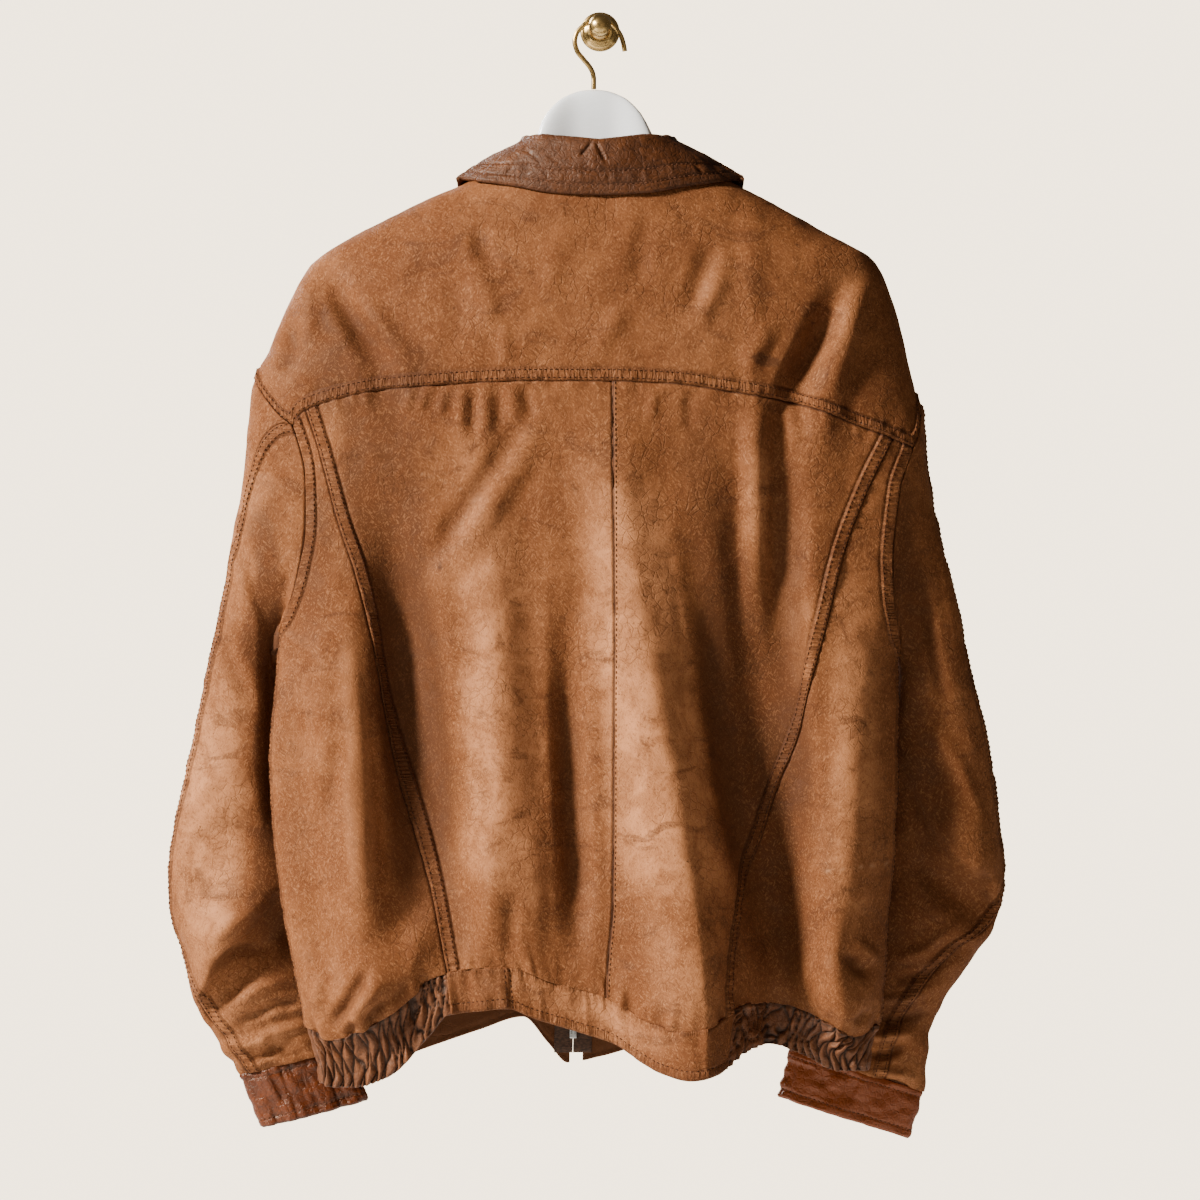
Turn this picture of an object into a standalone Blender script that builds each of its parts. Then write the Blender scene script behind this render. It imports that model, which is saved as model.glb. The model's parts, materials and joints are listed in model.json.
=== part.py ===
"""Worn leather blouson jacket hung on a dome-necked hanger, over a ball knob on a wall rosette.

Metres, +Z up. The origin is the centre of the rosette's back face, on the wall. +Y goes into the
wall, so the jacket's back faces -Y. Heights are given as drops: metres below the origin.

The body is one surface: a turn goes round it (0 the centre back, 1 and -1 the side edges, 2 and
-2 the centre front) and a drop goes down it. Every panel is a patch of that surface between its
seams, so neighbours share their seam points and stand a seam gap apart.
"""

import bpy
import bmesh
from bisect import bisect_right
from math import asin, cos, pi, sin
from mathutils import Matrix, Vector

LEATHER = 0.0020
RIB = 0.0024
COLLAR_HALF = 0.0012
SEAM_GAP = 0.00034
QUARTER_TURN = pi / 2

# The body's side edges: drop, then x. Down to the shoulder tips these are the shoulder crests.
LEFT_SIDE = [
    (0.117, -0.088), (0.129, -0.115), (0.150, -0.161), (0.171, -0.201), (0.182, -0.220),
    (0.194, -0.234), (0.213, -0.245), (0.236, -0.255), (0.260, -0.265), (0.284, -0.276),
    (0.305, -0.272), (0.330, -0.264), (0.365, -0.257), (0.448, -0.254), (0.522, -0.259),
    (0.589, -0.264), (0.645, -0.261), (0.701, -0.254), (0.749, -0.245), (0.805, -0.233),
    (0.822, -0.226), (0.850, -0.222),
]
RIGHT_SIDE = [
    (0.117, 0.088), (0.130, 0.114), (0.154, 0.161), (0.177, 0.201), (0.186, 0.217),
    (0.200, 0.227), (0.220, 0.234), (0.248, 0.242), (0.276, 0.249), (0.304, 0.256),
    (0.340, 0.263), (0.365, 0.262), (0.397, 0.257), (0.437, 0.250), (0.473, 0.243),
    (0.508, 0.238), (0.558, 0.238), (0.667, 0.235), (0.717, 0.230), (0.791, 0.224),
    (0.812, 0.218), (0.850, 0.210),
]
# Depths of the side edges, the centre back and the centre front: drop, then y.
SIDE_DEPTH = [
    (0.117, -0.061), (0.200, -0.061), (0.300, -0.066), (0.400, -0.078), (0.500, -0.092),
    (0.700, -0.094), (0.850, -0.096),
]
BACK_DEPTH = [
    (0.110, -0.089), (0.150, -0.098), (0.200, -0.108), (0.286, -0.119), (0.400, -0.125),
    (0.600, -0.130), (0.750, -0.134), (0.850, -0.132),
]
FRONT_DEPTH = [
    (0.117, -0.040), (0.200, -0.034), (0.300, -0.027), (0.500, -0.024), (0.700, -0.026),
    (0.850, -0.032),
]
# How boxy each half of a ring is: 1 is an ellipse, less is squarer, more is a thin edge.
BACK_POWER = [(0.117, 0.95), (0.200, 0.90), (0.350, 0.72), (0.850, 0.70)]
FRONT_POWER = [(0.117, 0.95), (0.300, 0.85), (0.450, 0.90), (0.560, 1.45), (0.850, 1.30)]

# Seams on the back. Those that run across give x, then drop; those that run down, drop, then x.
YOKE_SEAM = [
    (-0.246, 0.321), (-0.238, 0.311), (-0.212, 0.301), (-0.179, 0.294), (-0.136, 0.290),
    (-0.088, 0.287), (-0.050, 0.286), (0.000, 0.286), (0.057, 0.288), (0.101, 0.294),
    (0.139, 0.300), (0.175, 0.309), (0.206, 0.321), (0.235, 0.332), (0.250, 0.339),
]
LEFT_PRINCESS = [
    (0.300, -0.238), (0.342, -0.224), (0.397, -0.209), (0.445, -0.193), (0.517, -0.175),
    (0.580, -0.160), (0.652, -0.143), (0.715, -0.129), (0.760, -0.121),
]
RIGHT_PRINCESS = [
    (0.325, 0.237), (0.374, 0.213), (0.421, 0.195), (0.477, 0.181), (0.525, 0.168),
    (0.580, 0.151), (0.636, 0.133), (0.683, 0.119), (0.731, 0.109), (0.771, 0.106),
    (0.800, 0.106),
]
CENTRE_BACK = [(0.286, 0.010), (0.500, 0.011), (0.700, 0.010), (0.754, 0.006), (0.800, 0.004)]
BACK_WAIST = [
    (-0.235, 0.800), (-0.224, 0.808), (-0.212, 0.811), (-0.193, 0.806), (-0.160, 0.786),
    (-0.130, 0.760), (-0.095, 0.753), (-0.071, 0.753), (-0.039, 0.764), (0.004, 0.776),
    (0.032, 0.792), (0.063, 0.802), (0.085, 0.800), (0.106, 0.788), (0.118, 0.782),
    (0.157, 0.786), (0.179, 0.798), (0.204, 0.809), (0.222, 0.800),
]
BACK_HEM = [
    (-0.232, 0.840), (-0.214, 0.849), (-0.197, 0.849), (-0.168, 0.840), (-0.135, 0.806),
    (-0.122, 0.791), (-0.095, 0.787), (-0.074, 0.785), (-0.052, 0.793), (-0.016, 0.804),
    (0.011, 0.813), (0.032, 0.827), (0.047, 0.835), (0.071, 0.841), (0.096, 0.836),
    (0.113, 0.822), (0.135, 0.815), (0.158, 0.822), (0.192, 0.836), (0.216, 0.836),
]
FRONT_WAIST = [
    (-0.235, 0.802), (-0.180, 0.792), (-0.137, 0.780), (-0.097, 0.766), (-0.064, 0.760),
    (-0.040, 0.778), (-0.024, 0.791), (0.000, 0.787), (0.060, 0.773), (0.110, 0.773),
    (0.160, 0.780), (0.222, 0.798),
]
FRONT_HEM = [
    (-0.232, 0.842), (-0.180, 0.834), (-0.137, 0.820), (-0.097, 0.807), (-0.062, 0.797),
    (-0.042, 0.818), (-0.026, 0.834), (0.000, 0.829), (0.060, 0.815), (0.110, 0.815),
    (0.160, 0.820), (0.216, 0.834),
]
NECK = [(0.0, 0.112), (1.0, 0.118), (1.15, 0.123), (1.6, 0.150), (1.8, 0.162), (2.1, 0.167)]
ZIP_LINE = [(0.160, -0.004), (0.500, -0.013), (0.840, -0.0225)]
ZIP_OPENING = 0.006
TAPE_TOP = 0.170
TAPE_BOTTOM = 0.826
TAPE_CELLS = 22
TAPE_OFFSETS = (0.0004, 0.007, 0.015)
TAPE_THICKNESS = 0.0009
TAPE_DEPTH = LEATHER + 0.0006
SLIDER_DROP = 0.1855
SLIDER_SIZE = (0.009, 0.004, 0.013)
SLIDER_CLEARANCE = 0.0009
PIN_RADIUS = 0.0008
PIN_LIFT = 0.0027
PIN_LENGTH = 0.0050
PIN_PLAY = 0.0004
EAR_OFFSET = 0.0024
EAR_SIZE = (0.0012, PIN_LIFT + 0.0018, 0.0040)
EAR_ABOVE_PIN = 0.0014
EYE_RADIUS = 0.0022
EYE_LENGTH = 0.0027
TAB_SIZE = (0.0070, 0.0015, 0.0150)
TAB_HANG = 0.0130
TAB_NECK_SIZE = (0.0026, 0.00135, 0.0060)
TAB_NECK_HANG = 0.0040
ZIP_BOX_DROP = 0.810
ZIP_BOX_SIZE = (0.0056, 0.0022, 0.0090)
ZIP_BOX_CLEARANCE = 0.0005

# The back's main folds. Each row: drop, centre x, reach to its left and right, height outwards.
BACK_FOLDS = {
    "right yoke trough": [
        (0.200, 0.194, 0.018, 0.022, 0.000), (0.235, 0.181, 0.020, 0.022, -0.004),
        (0.290, 0.156, 0.022, 0.024, -0.006), (0.350, 0.140, 0.024, 0.026, -0.002),
    ],
    "right yoke ridge": [
        (0.195, 0.214, 0.020, 0.018, 0.000), (0.240, 0.202, 0.022, 0.020, 0.003),
        (0.300, 0.184, 0.024, 0.022, 0.004), (0.350, 0.176, 0.024, 0.024, 0.001),
    ],
    "left yoke trough": [
        (0.190, -0.222, 0.014, 0.020, 0.000), (0.230, -0.200, 0.018, 0.022, -0.003),
        (0.290, -0.172, 0.020, 0.024, -0.003), (0.340, -0.160, 0.020, 0.024, 0.000),
    ],
    "left ridge": [
        (0.300, -0.100, 0.030, 0.030, 0.000), (0.420, -0.090, 0.034, 0.036, 0.005),
        (0.540, -0.080, 0.036, 0.036, 0.010), (0.650, -0.076, 0.036, 0.040, 0.010),
        (0.760, -0.080, 0.040, 0.050, 0.003),
    ],
    "right ridge": [
        (0.300, 0.010, 0.050, 0.045, 0.000), (0.400, 0.022, 0.050, 0.034, 0.008),
        (0.540, 0.042, 0.056, 0.030, 0.016), (0.650, 0.062, 0.064, 0.032, 0.021),
        (0.740, 0.078, 0.080, 0.034, 0.025), (0.850, 0.084, 0.090, 0.034, 0.026),
    ],
    "right trough": [
        (0.330, 0.120, 0.040, 0.040, 0.000), (0.450, 0.120, 0.040, 0.050, -0.010),
        (0.540, 0.120, 0.044, 0.050, -0.016), (0.650, 0.130, 0.044, 0.050, -0.020),
        (0.750, 0.140, 0.040, 0.055, -0.022), (0.850, 0.145, 0.036, 0.060, -0.020),
    ],
    "trough strip": [
        (0.300, 0.122, 0.016, 0.016, 0.001), (0.380, 0.124, 0.017, 0.017, 0.005),
        (0.450, 0.125, 0.017, 0.017, 0.004), (0.500, 0.126, 0.017, 0.017, 0.000),
    ],
    "right side ridge": [
        (0.430, 0.212, 0.030, 0.040, 0.000), (0.560, 0.200, 0.034, 0.045, 0.007),
        (0.680, 0.196, 0.038, 0.050, 0.010), (0.770, 0.190, 0.040, 0.050, 0.010),
        (0.850, 0.190, 0.040, 0.050, 0.000),
    ],
    "left trough": [
        (0.360, -0.170, 0.040, 0.040, 0.000), (0.450, -0.162, 0.036, 0.040, -0.008),
        (0.540, -0.150, 0.034, 0.040, -0.011), (0.650, -0.134, 0.034, 0.040, -0.009),
        (0.760, -0.126, 0.036, 0.040, -0.002),
    ],
    "left side ridge": [
        (0.420, -0.220, 0.030, 0.030, 0.000), (0.540, -0.216, 0.030, 0.034, 0.006),
        (0.700, -0.196, 0.036, 0.040, 0.009), (0.780, -0.186, 0.040, 0.040, 0.008),
        (0.850, -0.186, 0.040, 0.040, -0.004),
    ],
    "middle valley": [
        (0.440, -0.026, 0.018, 0.020, 0.000), (0.540, -0.026, 0.020, 0.022, -0.005),
        (0.680, -0.018, 0.020, 0.020, -0.005), (0.760, -0.018, 0.020, 0.020, 0.000),
    ],
}
# The front hangs in two soft ridges beside the zip.
FRONT_FOLDS = {
    "left front ridge": [
        (0.250, -0.080, 0.050, 0.050, 0.000), (0.500, -0.090, 0.050, 0.050, 0.006),
        (0.780, -0.090, 0.050, 0.050, 0.004),
    ],
    "right front ridge": [
        (0.250, 0.080, 0.050, 0.050, 0.000), (0.500, 0.085, 0.050, 0.050, 0.006),
        (0.780, 0.090, 0.050, 0.050, 0.004),
    ],
}

# Cells across and down the panels.
SIDE_BACK_CELLS = 4
LEFT_BACK_CELLS = 10
RIGHT_BACK_CELLS = 9
BAND_JOINT_CELL = 4
FRONT_CELLS = 7
ELASTIC_FRONT_CELLS = 2
ELASTIC_SPLIT = 8
GATHER_HEIGHT = 0.0017
ARMHOLE_CELLS = 7
BODY_CELLS = 18
ARMHOLE_SHARE = 0.36
YOKE_CELLS = 10
FRONT_ARMHOLE_CELLS = 6
YOKE_FRONT_TURN = 1.15
SIDE_SEAM_TURN = 1.06
SHOULDER_TURNS = [1.15, 1.07, 1.0, 0.92, 0.84]

# Armholes: drops of the shoulder tip and yoke corners, then the turns of their two edges by share
# of the way from the yoke's corner down to the underarm.
ARMHOLES = {
    "left": {"sign": -1, "tip": 0.284, "front_corner": 0.292, "corner": 0.321},
    "right": {"sign": 1, "tip": 0.304, "front_corner": 0.310, "corner": 0.339},
}
BACK_EDGE = [(0.0, 0.765), (0.2, 0.735), (0.45, 0.745), (0.7, 0.80), (0.88, 0.90), (1.0, 1.06)]
FRONT_EDGE = [(0.0, 1.15), (0.25, 1.25), (0.55, 1.29), (0.8, 1.22), (1.0, 1.06)]

# Sleeves, from the armhole to the cuff's top: outer edge x, y, drop, inner edge x, y, drop, and
# half the thickness. The inner edge lies behind the body.
SLEEVES = {
    "left": [
        (-0.276, -0.063, 0.284, -0.256, -0.083, 0.494, 0.024),
        (-0.282, -0.064, 0.336, -0.260, -0.084, 0.514, 0.025),
        (-0.294, -0.067, 0.410, -0.257, -0.0715, 0.536, 0.027),
        (-0.309, -0.070, 0.490, -0.240, -0.052, 0.570, 0.029),
        (-0.326, -0.068, 0.575, -0.224, -0.037, 0.618, 0.030),
        (-0.343, -0.063, 0.655, -0.216, -0.035, 0.682, 0.030),
        (-0.345, -0.057, 0.704, -0.215, -0.034, 0.710, 0.030),
        (-0.336, -0.053, 0.745, -0.213, -0.034, 0.735, 0.027),
        (-0.326, -0.049, 0.785, -0.209, -0.033, 0.763, 0.024),
        (-0.308, -0.044, 0.817, -0.204, -0.032, 0.791, 0.020),
        (-0.291, -0.040, 0.844, -0.202, -0.032, 0.821, 0.015),
    ],
    "right": [
        (0.256, -0.063, 0.304, 0.240, -0.080, 0.508, 0.024),
        (0.261, -0.064, 0.350, 0.2435, -0.082, 0.525, 0.025),
        (0.272, -0.067, 0.409, 0.240, -0.069, 0.550, 0.027),
        (0.288, -0.070, 0.477, 0.226, -0.052, 0.580, 0.029),
        (0.304, -0.069, 0.545, 0.206, -0.037, 0.600, 0.030),
        (0.318, -0.064, 0.618, 0.202, -0.034, 0.640, 0.030),
        (0.324, -0.059, 0.680, 0.202, -0.034, 0.674, 0.030),
        (0.317, -0.055, 0.722, 0.194, -0.034, 0.702, 0.029),
        (0.298, -0.051, 0.752, 0.182, -0.034, 0.728, 0.027),
        (0.278, -0.047, 0.782, 0.168, -0.033, 0.756, 0.024),
        (0.266, -0.043, 0.815, 0.158, -0.032, 0.788, 0.020),
        (0.261, -0.040, 0.857, 0.152, -0.032, 0.823, 0.015),
    ],
}
SLEEVE_CELLS = 22
SLEEVE_JOIN = 0.16
SLEEVE_SQUARE = 0.95
# The elbow's fold on the side seen from behind: the upper sleeve overhangs the forearm there.
ELBOW_FOLDS = {
    "left": [(-0.328, 0.787), (-0.300, 0.745), (-0.259, 0.692)],
    "right": [(0.243, 0.590), (0.262, 0.640), (0.282, 0.663), (0.321, 0.690)],
}
ELBOW_BULGE = 0.007
ELBOW_REACH = 0.036
# Angles of the sleeves' back seams from the outer edge, by share of the sleeve's length.
BACK_SEAM = {
    "left": [(0.0, None), (0.15, 0.55), (0.33, 0.0), (0.65, -0.2), (0.80, 0.35), (1.0, 0.6)],
    "right": [(0.0, 0.0), (0.10, -0.2), (0.55, -0.2), (0.70, 0.7), (1.0, 1.15)],
}
INNER_SEAM_TURN = 0.30

CUFFS = {
    "left": {"down": (0.016, 0.0, -0.043), "narrowing": 0.98},
    "right": {"down": (-0.010, 0.0, -0.038), "narrowing": 0.98},
}
CUFF_CELLS = 2

# Collar: the roll line and the fall's edge, by turn: x, y and drop on the back and sides.
ROLL_HALF_WIDTH = 0.060
ROLL_MIDDLE = (-0.001, -0.062)
ROLL_BACK = 0.030
ROLL_FRONT = 0.025
ROLL_FRONT_POWER = 0.7
ROLL_DROP = [(0.0, 0.0935), (0.5, 0.0895), (1.0, 0.0895), (1.4, 0.107), (2.0, 0.148)]
ROLL_RADIUS = [(0.0, 0.0034), (0.8, 0.0040), (1.0, 0.0044), (1.3, 0.0042), (2.0, 0.0034)]
FALL_EDGE_X = [(0.0, 0.000), (0.5, 0.062), (0.85, 0.104), (1.0, 0.114), (1.2, 0.112),
               (1.6, 0.086), (2.0, 0.046)]
FALL_EDGE_DROP = [(0.0, 0.1385), (0.3, 0.1365), (0.6, 0.1300), (0.85, 0.1265), (1.0, 0.1250),
                  (1.2, 0.145), (1.6, 0.194), (2.0, 0.222)]
FALL_LIFT = 0.0024
FALL_BULGE = [(0.0, 0.004), (0.8, 0.003), (1.0, 0.002), (1.2, 0.007), (2.0, 0.005)]
FALL_ROWS = 5
# Where the collar's edge crosses the shoulder's crest.
CREST_START = 0.098
CREST_WIDTH = 0.016

HOOK_PLANE = -0.058
HANGER_ARM_PLANE = -0.064
WIRE_RADIUS = 0.002
KNOB_NECK_RADIUS = 0.004
HOOK_SEAT = KNOB_NECK_RADIUS + WIRE_RADIUS + 0.0003
HANGER_CLEARANCE = 0.0008
# The hanger's top edge between the shoulders, x then drop: a domed neck, then two arms to the tips.
HANGER_TOP = [
    (-0.226, 0.2010), (-0.222, 0.1945), (-0.212, 0.1850), (-0.088, 0.1240), (-0.064, 0.1150),
    (-0.053, 0.1000), (-0.050, 0.0850), (-0.042, 0.0690), (-0.028, 0.0565), (-0.012, 0.0513),
    (-0.005, 0.0510), (0.002, 0.0513), (0.018, 0.0565), (0.032, 0.0690), (0.041, 0.0850),
    (0.047, 0.1000), (0.060, 0.1150), (0.084, 0.1240), (0.206, 0.1880), (0.213, 0.1955),
    (0.217, 0.2020),
]
HANGER_MIDDLE = -0.0045
HANGER_REACH = 0.223
HANGER_SIDES = 14
# The hook's wire, x then height: up from the hanger's neck, over the knob and down to its tip.
HOOK_ROUTE = [
    (-0.0050, -0.0505), (-0.0050, -0.0420), (-0.0058, -0.0375), (-0.0080, -0.0330),
    (-0.0135, -0.0262), (-0.0185, -0.0195), (-0.0203, -0.0120), (-0.0188, -0.0055),
    (-0.0150, -0.0010), (-0.0090, 0.0038), (-0.0045, HOOK_SEAT - 0.0005), (0.0, HOOK_SEAT),
    (0.0045, HOOK_SEAT - 0.0005), (0.0090, 0.0030), (0.0140, -0.0030), (0.0172, -0.0085),
    (0.0190, -0.0145), (0.0200, -0.0200),
]
# Turned profiles: radius, then reach from the wall.
ROSETTE_PROFILE = [
    (0.0, 0.0095), (0.0085, 0.0095), (0.0105, 0.0088), (0.0108, 0.0070), (0.0125, 0.0062),
    (0.0138, 0.0045), (0.0142, 0.0032), (0.0156, 0.0026), (0.0160, 0.0012), (0.0160, 0.0),
    (0.0, 0.0),
]
STEM_PROFILE = [(KNOB_NECK_RADIUS, 0.0500), (0.0052, 0.0460), (0.0052, 0.0160), (0.0075, 0.0098),
                (0.0, 0.0098)]
BALL_RADIUS = 0.009
BALL_REACH = 0.0715
BALL_STEPS = 8
BALL_ARC = 0.86 * pi
TURNING_STEPS = 28


def smooth(points, key):
    """The value at key on a smooth curve without overshoot through (key, value) points."""
    if key <= points[0][0]:
        return points[0][1]
    if key >= points[-1][0]:
        return points[-1][1]
    index = bisect_right([point[0] for point in points], key) - 1
    start, end = points[index], points[index + 1]
    width = end[0] - start[0]
    slope = (end[1] - start[1]) / width

    def tangent(at):
        if at in (0, len(points) - 1):
            return slope
        before = (points[at][1] - points[at - 1][1]) / (points[at][0] - points[at - 1][0])
        after = (points[at + 1][1] - points[at][1]) / (points[at + 1][0] - points[at][0])
        if before * after <= 0:
            return 0.0
        return 2 * before * after / (before + after)

    share = (key - start[0]) / width
    rise = tangent(index) * width
    land = tangent(index + 1) * width
    return (
        start[1] * (1 + 2 * share) * (1 - share) ** 2
        + rise * share * (1 - share) ** 2
        + end[1] * share ** 2 * (3 - 2 * share)
        + land * share ** 2 * (share - 1)
    )


def smooth_column(rows, key, column):
    """The value of one column of keyed rows at key."""
    return smooth([(row[0], row[column]) for row in rows], key)


def mix(first, second, share):
    """The point or number that far from the first to the second."""
    return first + (second - first) * share


def ease(share):
    """A soft step from 0 to 1."""
    share = min(1.0, max(0.0, share))
    return share * share * (3 - 2 * share)


def bell(offset):
    """A soft bump that is 1 in its middle and 0 past an offset of 1."""
    return 0.5 + 0.5 * cos(pi * offset) if abs(offset) < 1 else 0.0


def signed_power(value, power):
    """The power of the value's size, with its sign kept."""
    return abs(value) ** power if value >= 0 else -abs(value) ** power


def folds_at(folds, x, drop):
    """How far the folds stand out at a place."""
    height = 0.0
    for rows in folds.values():
        offset = x - smooth_column(rows, drop, 1)
        reach = smooth_column(rows, drop, 2 if offset < 0 else 3)
        if abs(offset) < reach:
            height += smooth_column(rows, drop, 4) * bell(offset / reach)
    return height


def blousing(x, drop):
    """How far the body puffs out over the gathered sides of the waistband."""
    above = smooth(BACK_WAIST, x) - drop
    gathered = ease((-0.12 - x) / 0.03) + ease((x - 0.11) / 0.02)
    return 0.008 * gathered * (bell((above - 0.028) / 0.045) - 0.5 * ease(0.4 - above / 0.03))


def body_point(turn, drop):
    """The body's outer face."""
    left = smooth(LEFT_SIDE, drop)
    right = smooth(RIGHT_SIDE, drop)
    x = (left + right) / 2 + (right - left) / 2 * sin(turn * QUARTER_TURN)
    facing = cos(turn * QUARTER_TURN)
    side = smooth(SIDE_DEPTH, drop)
    if facing >= 0:
        y = mix(side, smooth(BACK_DEPTH, drop), facing ** smooth(BACK_POWER, drop))
        y -= (folds_at(BACK_FOLDS, x, drop) + blousing(x, drop)) * ease(facing / 0.55)
    else:
        y = mix(side, smooth(FRONT_DEPTH, drop), (-facing) ** smooth(FRONT_POWER, drop))
        y += folds_at(FRONT_FOLDS, x, drop) * ease(-facing / 0.55)
    return Vector((x, y, -drop))


def body_normal(turn, drop):
    """The outward direction of the body's outer face."""
    step = 0.004
    along = body_point(turn + step, drop) - body_point(turn - step, drop)
    upward = body_point(turn, drop - step) - body_point(turn, drop + step)
    return along.cross(upward).normalized()


def turn_at(x, drop, front=0):
    """The turn of the body's point at x, on the back or on the left (-1) or right (1) front."""
    left = smooth(LEFT_SIDE, drop)
    right = smooth(RIGHT_SIDE, drop)
    share = (x - (left + right) / 2) / ((right - left) / 2)
    turn = asin(min(1.0, max(-1.0, share))) / QUARTER_TURN
    return turn if front == 0 else 2 * front - turn


def drop_on(seam, turn, start):
    """The drop at which a line of one turn meets a seam given as x, then drop."""
    drop = start
    for _ in range(12):
        drop = smooth(seam, body_point(turn, drop).x)
    return drop


def waist_drop(turn):
    return drop_on(BACK_WAIST if abs(turn) <= 1 else FRONT_WAIST, turn, 0.79)


def hem_drop(turn):
    return drop_on(BACK_HEM if abs(turn) <= 1 else FRONT_HEM, turn, 0.83)


def body_rows():
    """Shares of the way down the back panels, with one row at the underarm."""
    upper = [ARMHOLE_SHARE * row / ARMHOLE_CELLS for row in range(ARMHOLE_CELLS)]
    lower_cells = BODY_CELLS - ARMHOLE_CELLS
    step = (1 - ARMHOLE_SHARE) / lower_cells
    return upper + [ARMHOLE_SHARE + step * row for row in range(lower_cells + 1)]


def seam_down(seam, top_x):
    """A seam that runs down the back from the yoke to the waist, as (turn, drop) points."""
    top = smooth(YOKE_SEAM, top_x)
    bottom = 0.78
    for _ in range(12):
        bottom = smooth(BACK_WAIST, smooth(seam, bottom))
    line = []
    for share in body_rows():
        drop = mix(top, bottom, share)
        line.append((turn_at(smooth(seam, drop), drop), drop))
    return line


def across(start, end, cells, seam_drop):
    """Points on a seam that runs across, between two (turn, drop) ends."""
    line = [start]
    for cell in range(1, cells):
        turn = mix(start[0], end[0], cell / cells)
        line.append((turn, seam_drop(turn)))
    return line + [end]


def patch(top, bottom, left, right):
    """A grid of (turn, drop) points between four sides that share their corners."""
    last_row = len(left) - 1
    last_column = len(top) - 1
    grid = []
    for row in range(last_row + 1):
        down = row / last_row
        line = []
        for column in range(last_column + 1):
            over = column / last_column
            line.append(tuple(
                mix(top[column][axis], bottom[column][axis], down)
                + mix(left[row][axis], right[row][axis], over)
                - mix(
                    mix(top[0][axis], top[-1][axis], over),
                    mix(bottom[0][axis], bottom[-1][axis], over),
                    down,
                )
                for axis in (0, 1)
            ))
        grid.append(line)
    return grid


def armhole_lines(side):
    """The armhole's edge: its top over the shoulder, its back and its front, as (turn, drop)."""
    hole = ARMHOLES[side]
    sign = hole["sign"]
    corner_x = YOKE_SEAM[0][0] if sign < 0 else YOKE_SEAM[-1][0]
    corner = (turn_at(corner_x, hole["corner"]), hole["corner"])
    shoulder = [(YOKE_FRONT_TURN, hole["front_corner"]), (1.0, hole["tip"]),
                (abs(corner[0]), hole["corner"])]
    shoulder.sort()
    top = [(sign * turn, smooth(shoulder, turn)) for turn in SHOULDER_TURNS] + [corner]
    bottom = 0.806
    underarm = mix(corner[1], bottom, ARMHOLE_SHARE)
    back = [corner]
    for row in range(1, ARMHOLE_CELLS + 1):
        share = row / ARMHOLE_CELLS
        back.append((sign * smooth(BACK_EDGE, share), mix(corner[1], underarm, share)))
    front = []
    for row in range(FRONT_ARMHOLE_CELLS + 1):
        share = row / FRONT_ARMHOLE_CELLS
        drop = mix(hole["front_corner"], underarm, share)
        front.append((sign * smooth(FRONT_EDGE, share), drop))
    return top, back, front, bottom


def side_seam(side, underarm):
    """The seam from the underarm to the waist, as (turn, drop) points."""
    turn = ARMHOLES[side]["sign"] * SIDE_SEAM_TURN
    bottom = waist_drop(turn)
    shares = body_rows()[ARMHOLE_CELLS:]
    span = 1 - ARMHOLE_SHARE
    return [(turn, mix(underarm, bottom, (share - ARMHOLE_SHARE) / span)) for share in shares]


def on_body(grid):
    """Points and outward directions of a (turn, drop) grid."""
    points = [[body_point(*place) for place in line] for line in grid]
    normals = [[body_normal(*place) for place in line] for line in grid]
    return points, normals


def grid_normals(points):
    """Outward directions of a free grid of points."""
    normals = []
    for row, line in enumerate(points):
        above = points[max(row - 1, 0)]
        below = points[min(row + 1, len(points) - 1)]
        normals.append([])
        for column in range(len(line)):
            left = line[max(column - 1, 0)]
            right = line[min(column + 1, len(line) - 1)]
            downward = below[column] - above[column]
            normals[-1].append((right - left).cross(downward).normalized())
    return normals


def softened(normals, passes=2):
    """The directions of a grid, evened out between its edges."""
    for _ in range(passes):
        even = [line[:] for line in normals]
        for row in range(1, len(normals) - 1):
            for column in range(1, len(normals[row]) - 1):
                around = normals[row - 1][column] + normals[row + 1][column]
                around += normals[row][column - 1] + normals[row][column + 1]
                even[row][column] = (around + normals[row][column] * 2).normalized()
        normals = even
    return normals


def drawn_in(points, gap, sides="tblr"):
    """The grid with its named edges (top, bottom, left, right) moved in by half a seam gap."""
    moved = [[point.copy() for point in line] for line in points]
    last_row = len(points) - 1
    last_column = len(points[0]) - 1

    def shift(row, column, next_row, next_column):
        edge = points[row][column]
        moved[row][column] += (points[next_row][next_column] - edge).normalized() * gap / 2

    for column in range(last_column + 1):
        if "t" in sides:
            shift(0, column, 1, column)
        if "b" in sides:
            shift(last_row, column, last_row - 1, column)
    for row in range(last_row + 1):
        if "l" in sides:
            shift(row, 0, row, 1)
        if "r" in sides:
            shift(row, last_column, row, last_column - 1)
    return moved


def add_object(name, mesh, material, collection):
    """A named object with its material, shaded smooth up to its sharp edges."""
    mesh.materials.append(material)
    mesh.shade_smooth()
    mesh.set_sharp_from_angle(angle=0.9)
    item = bpy.data.objects.new(name, mesh)
    collection.objects.link(item)
    return item


def mesh_from(name, vertices, faces):
    """A mesh of triangles, its faces turned outwards."""
    mesh = bpy.data.meshes.new(name)
    mesh.from_pydata([tuple(vertex) for vertex in vertices], [], faces)
    work = bmesh.new()
    work.from_mesh(mesh)
    bmesh.ops.triangulate(work, faces=work.faces)
    bmesh.ops.recalc_face_normals(work, faces=work.faces)
    work.to_mesh(mesh)
    work.free()
    return mesh


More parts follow.
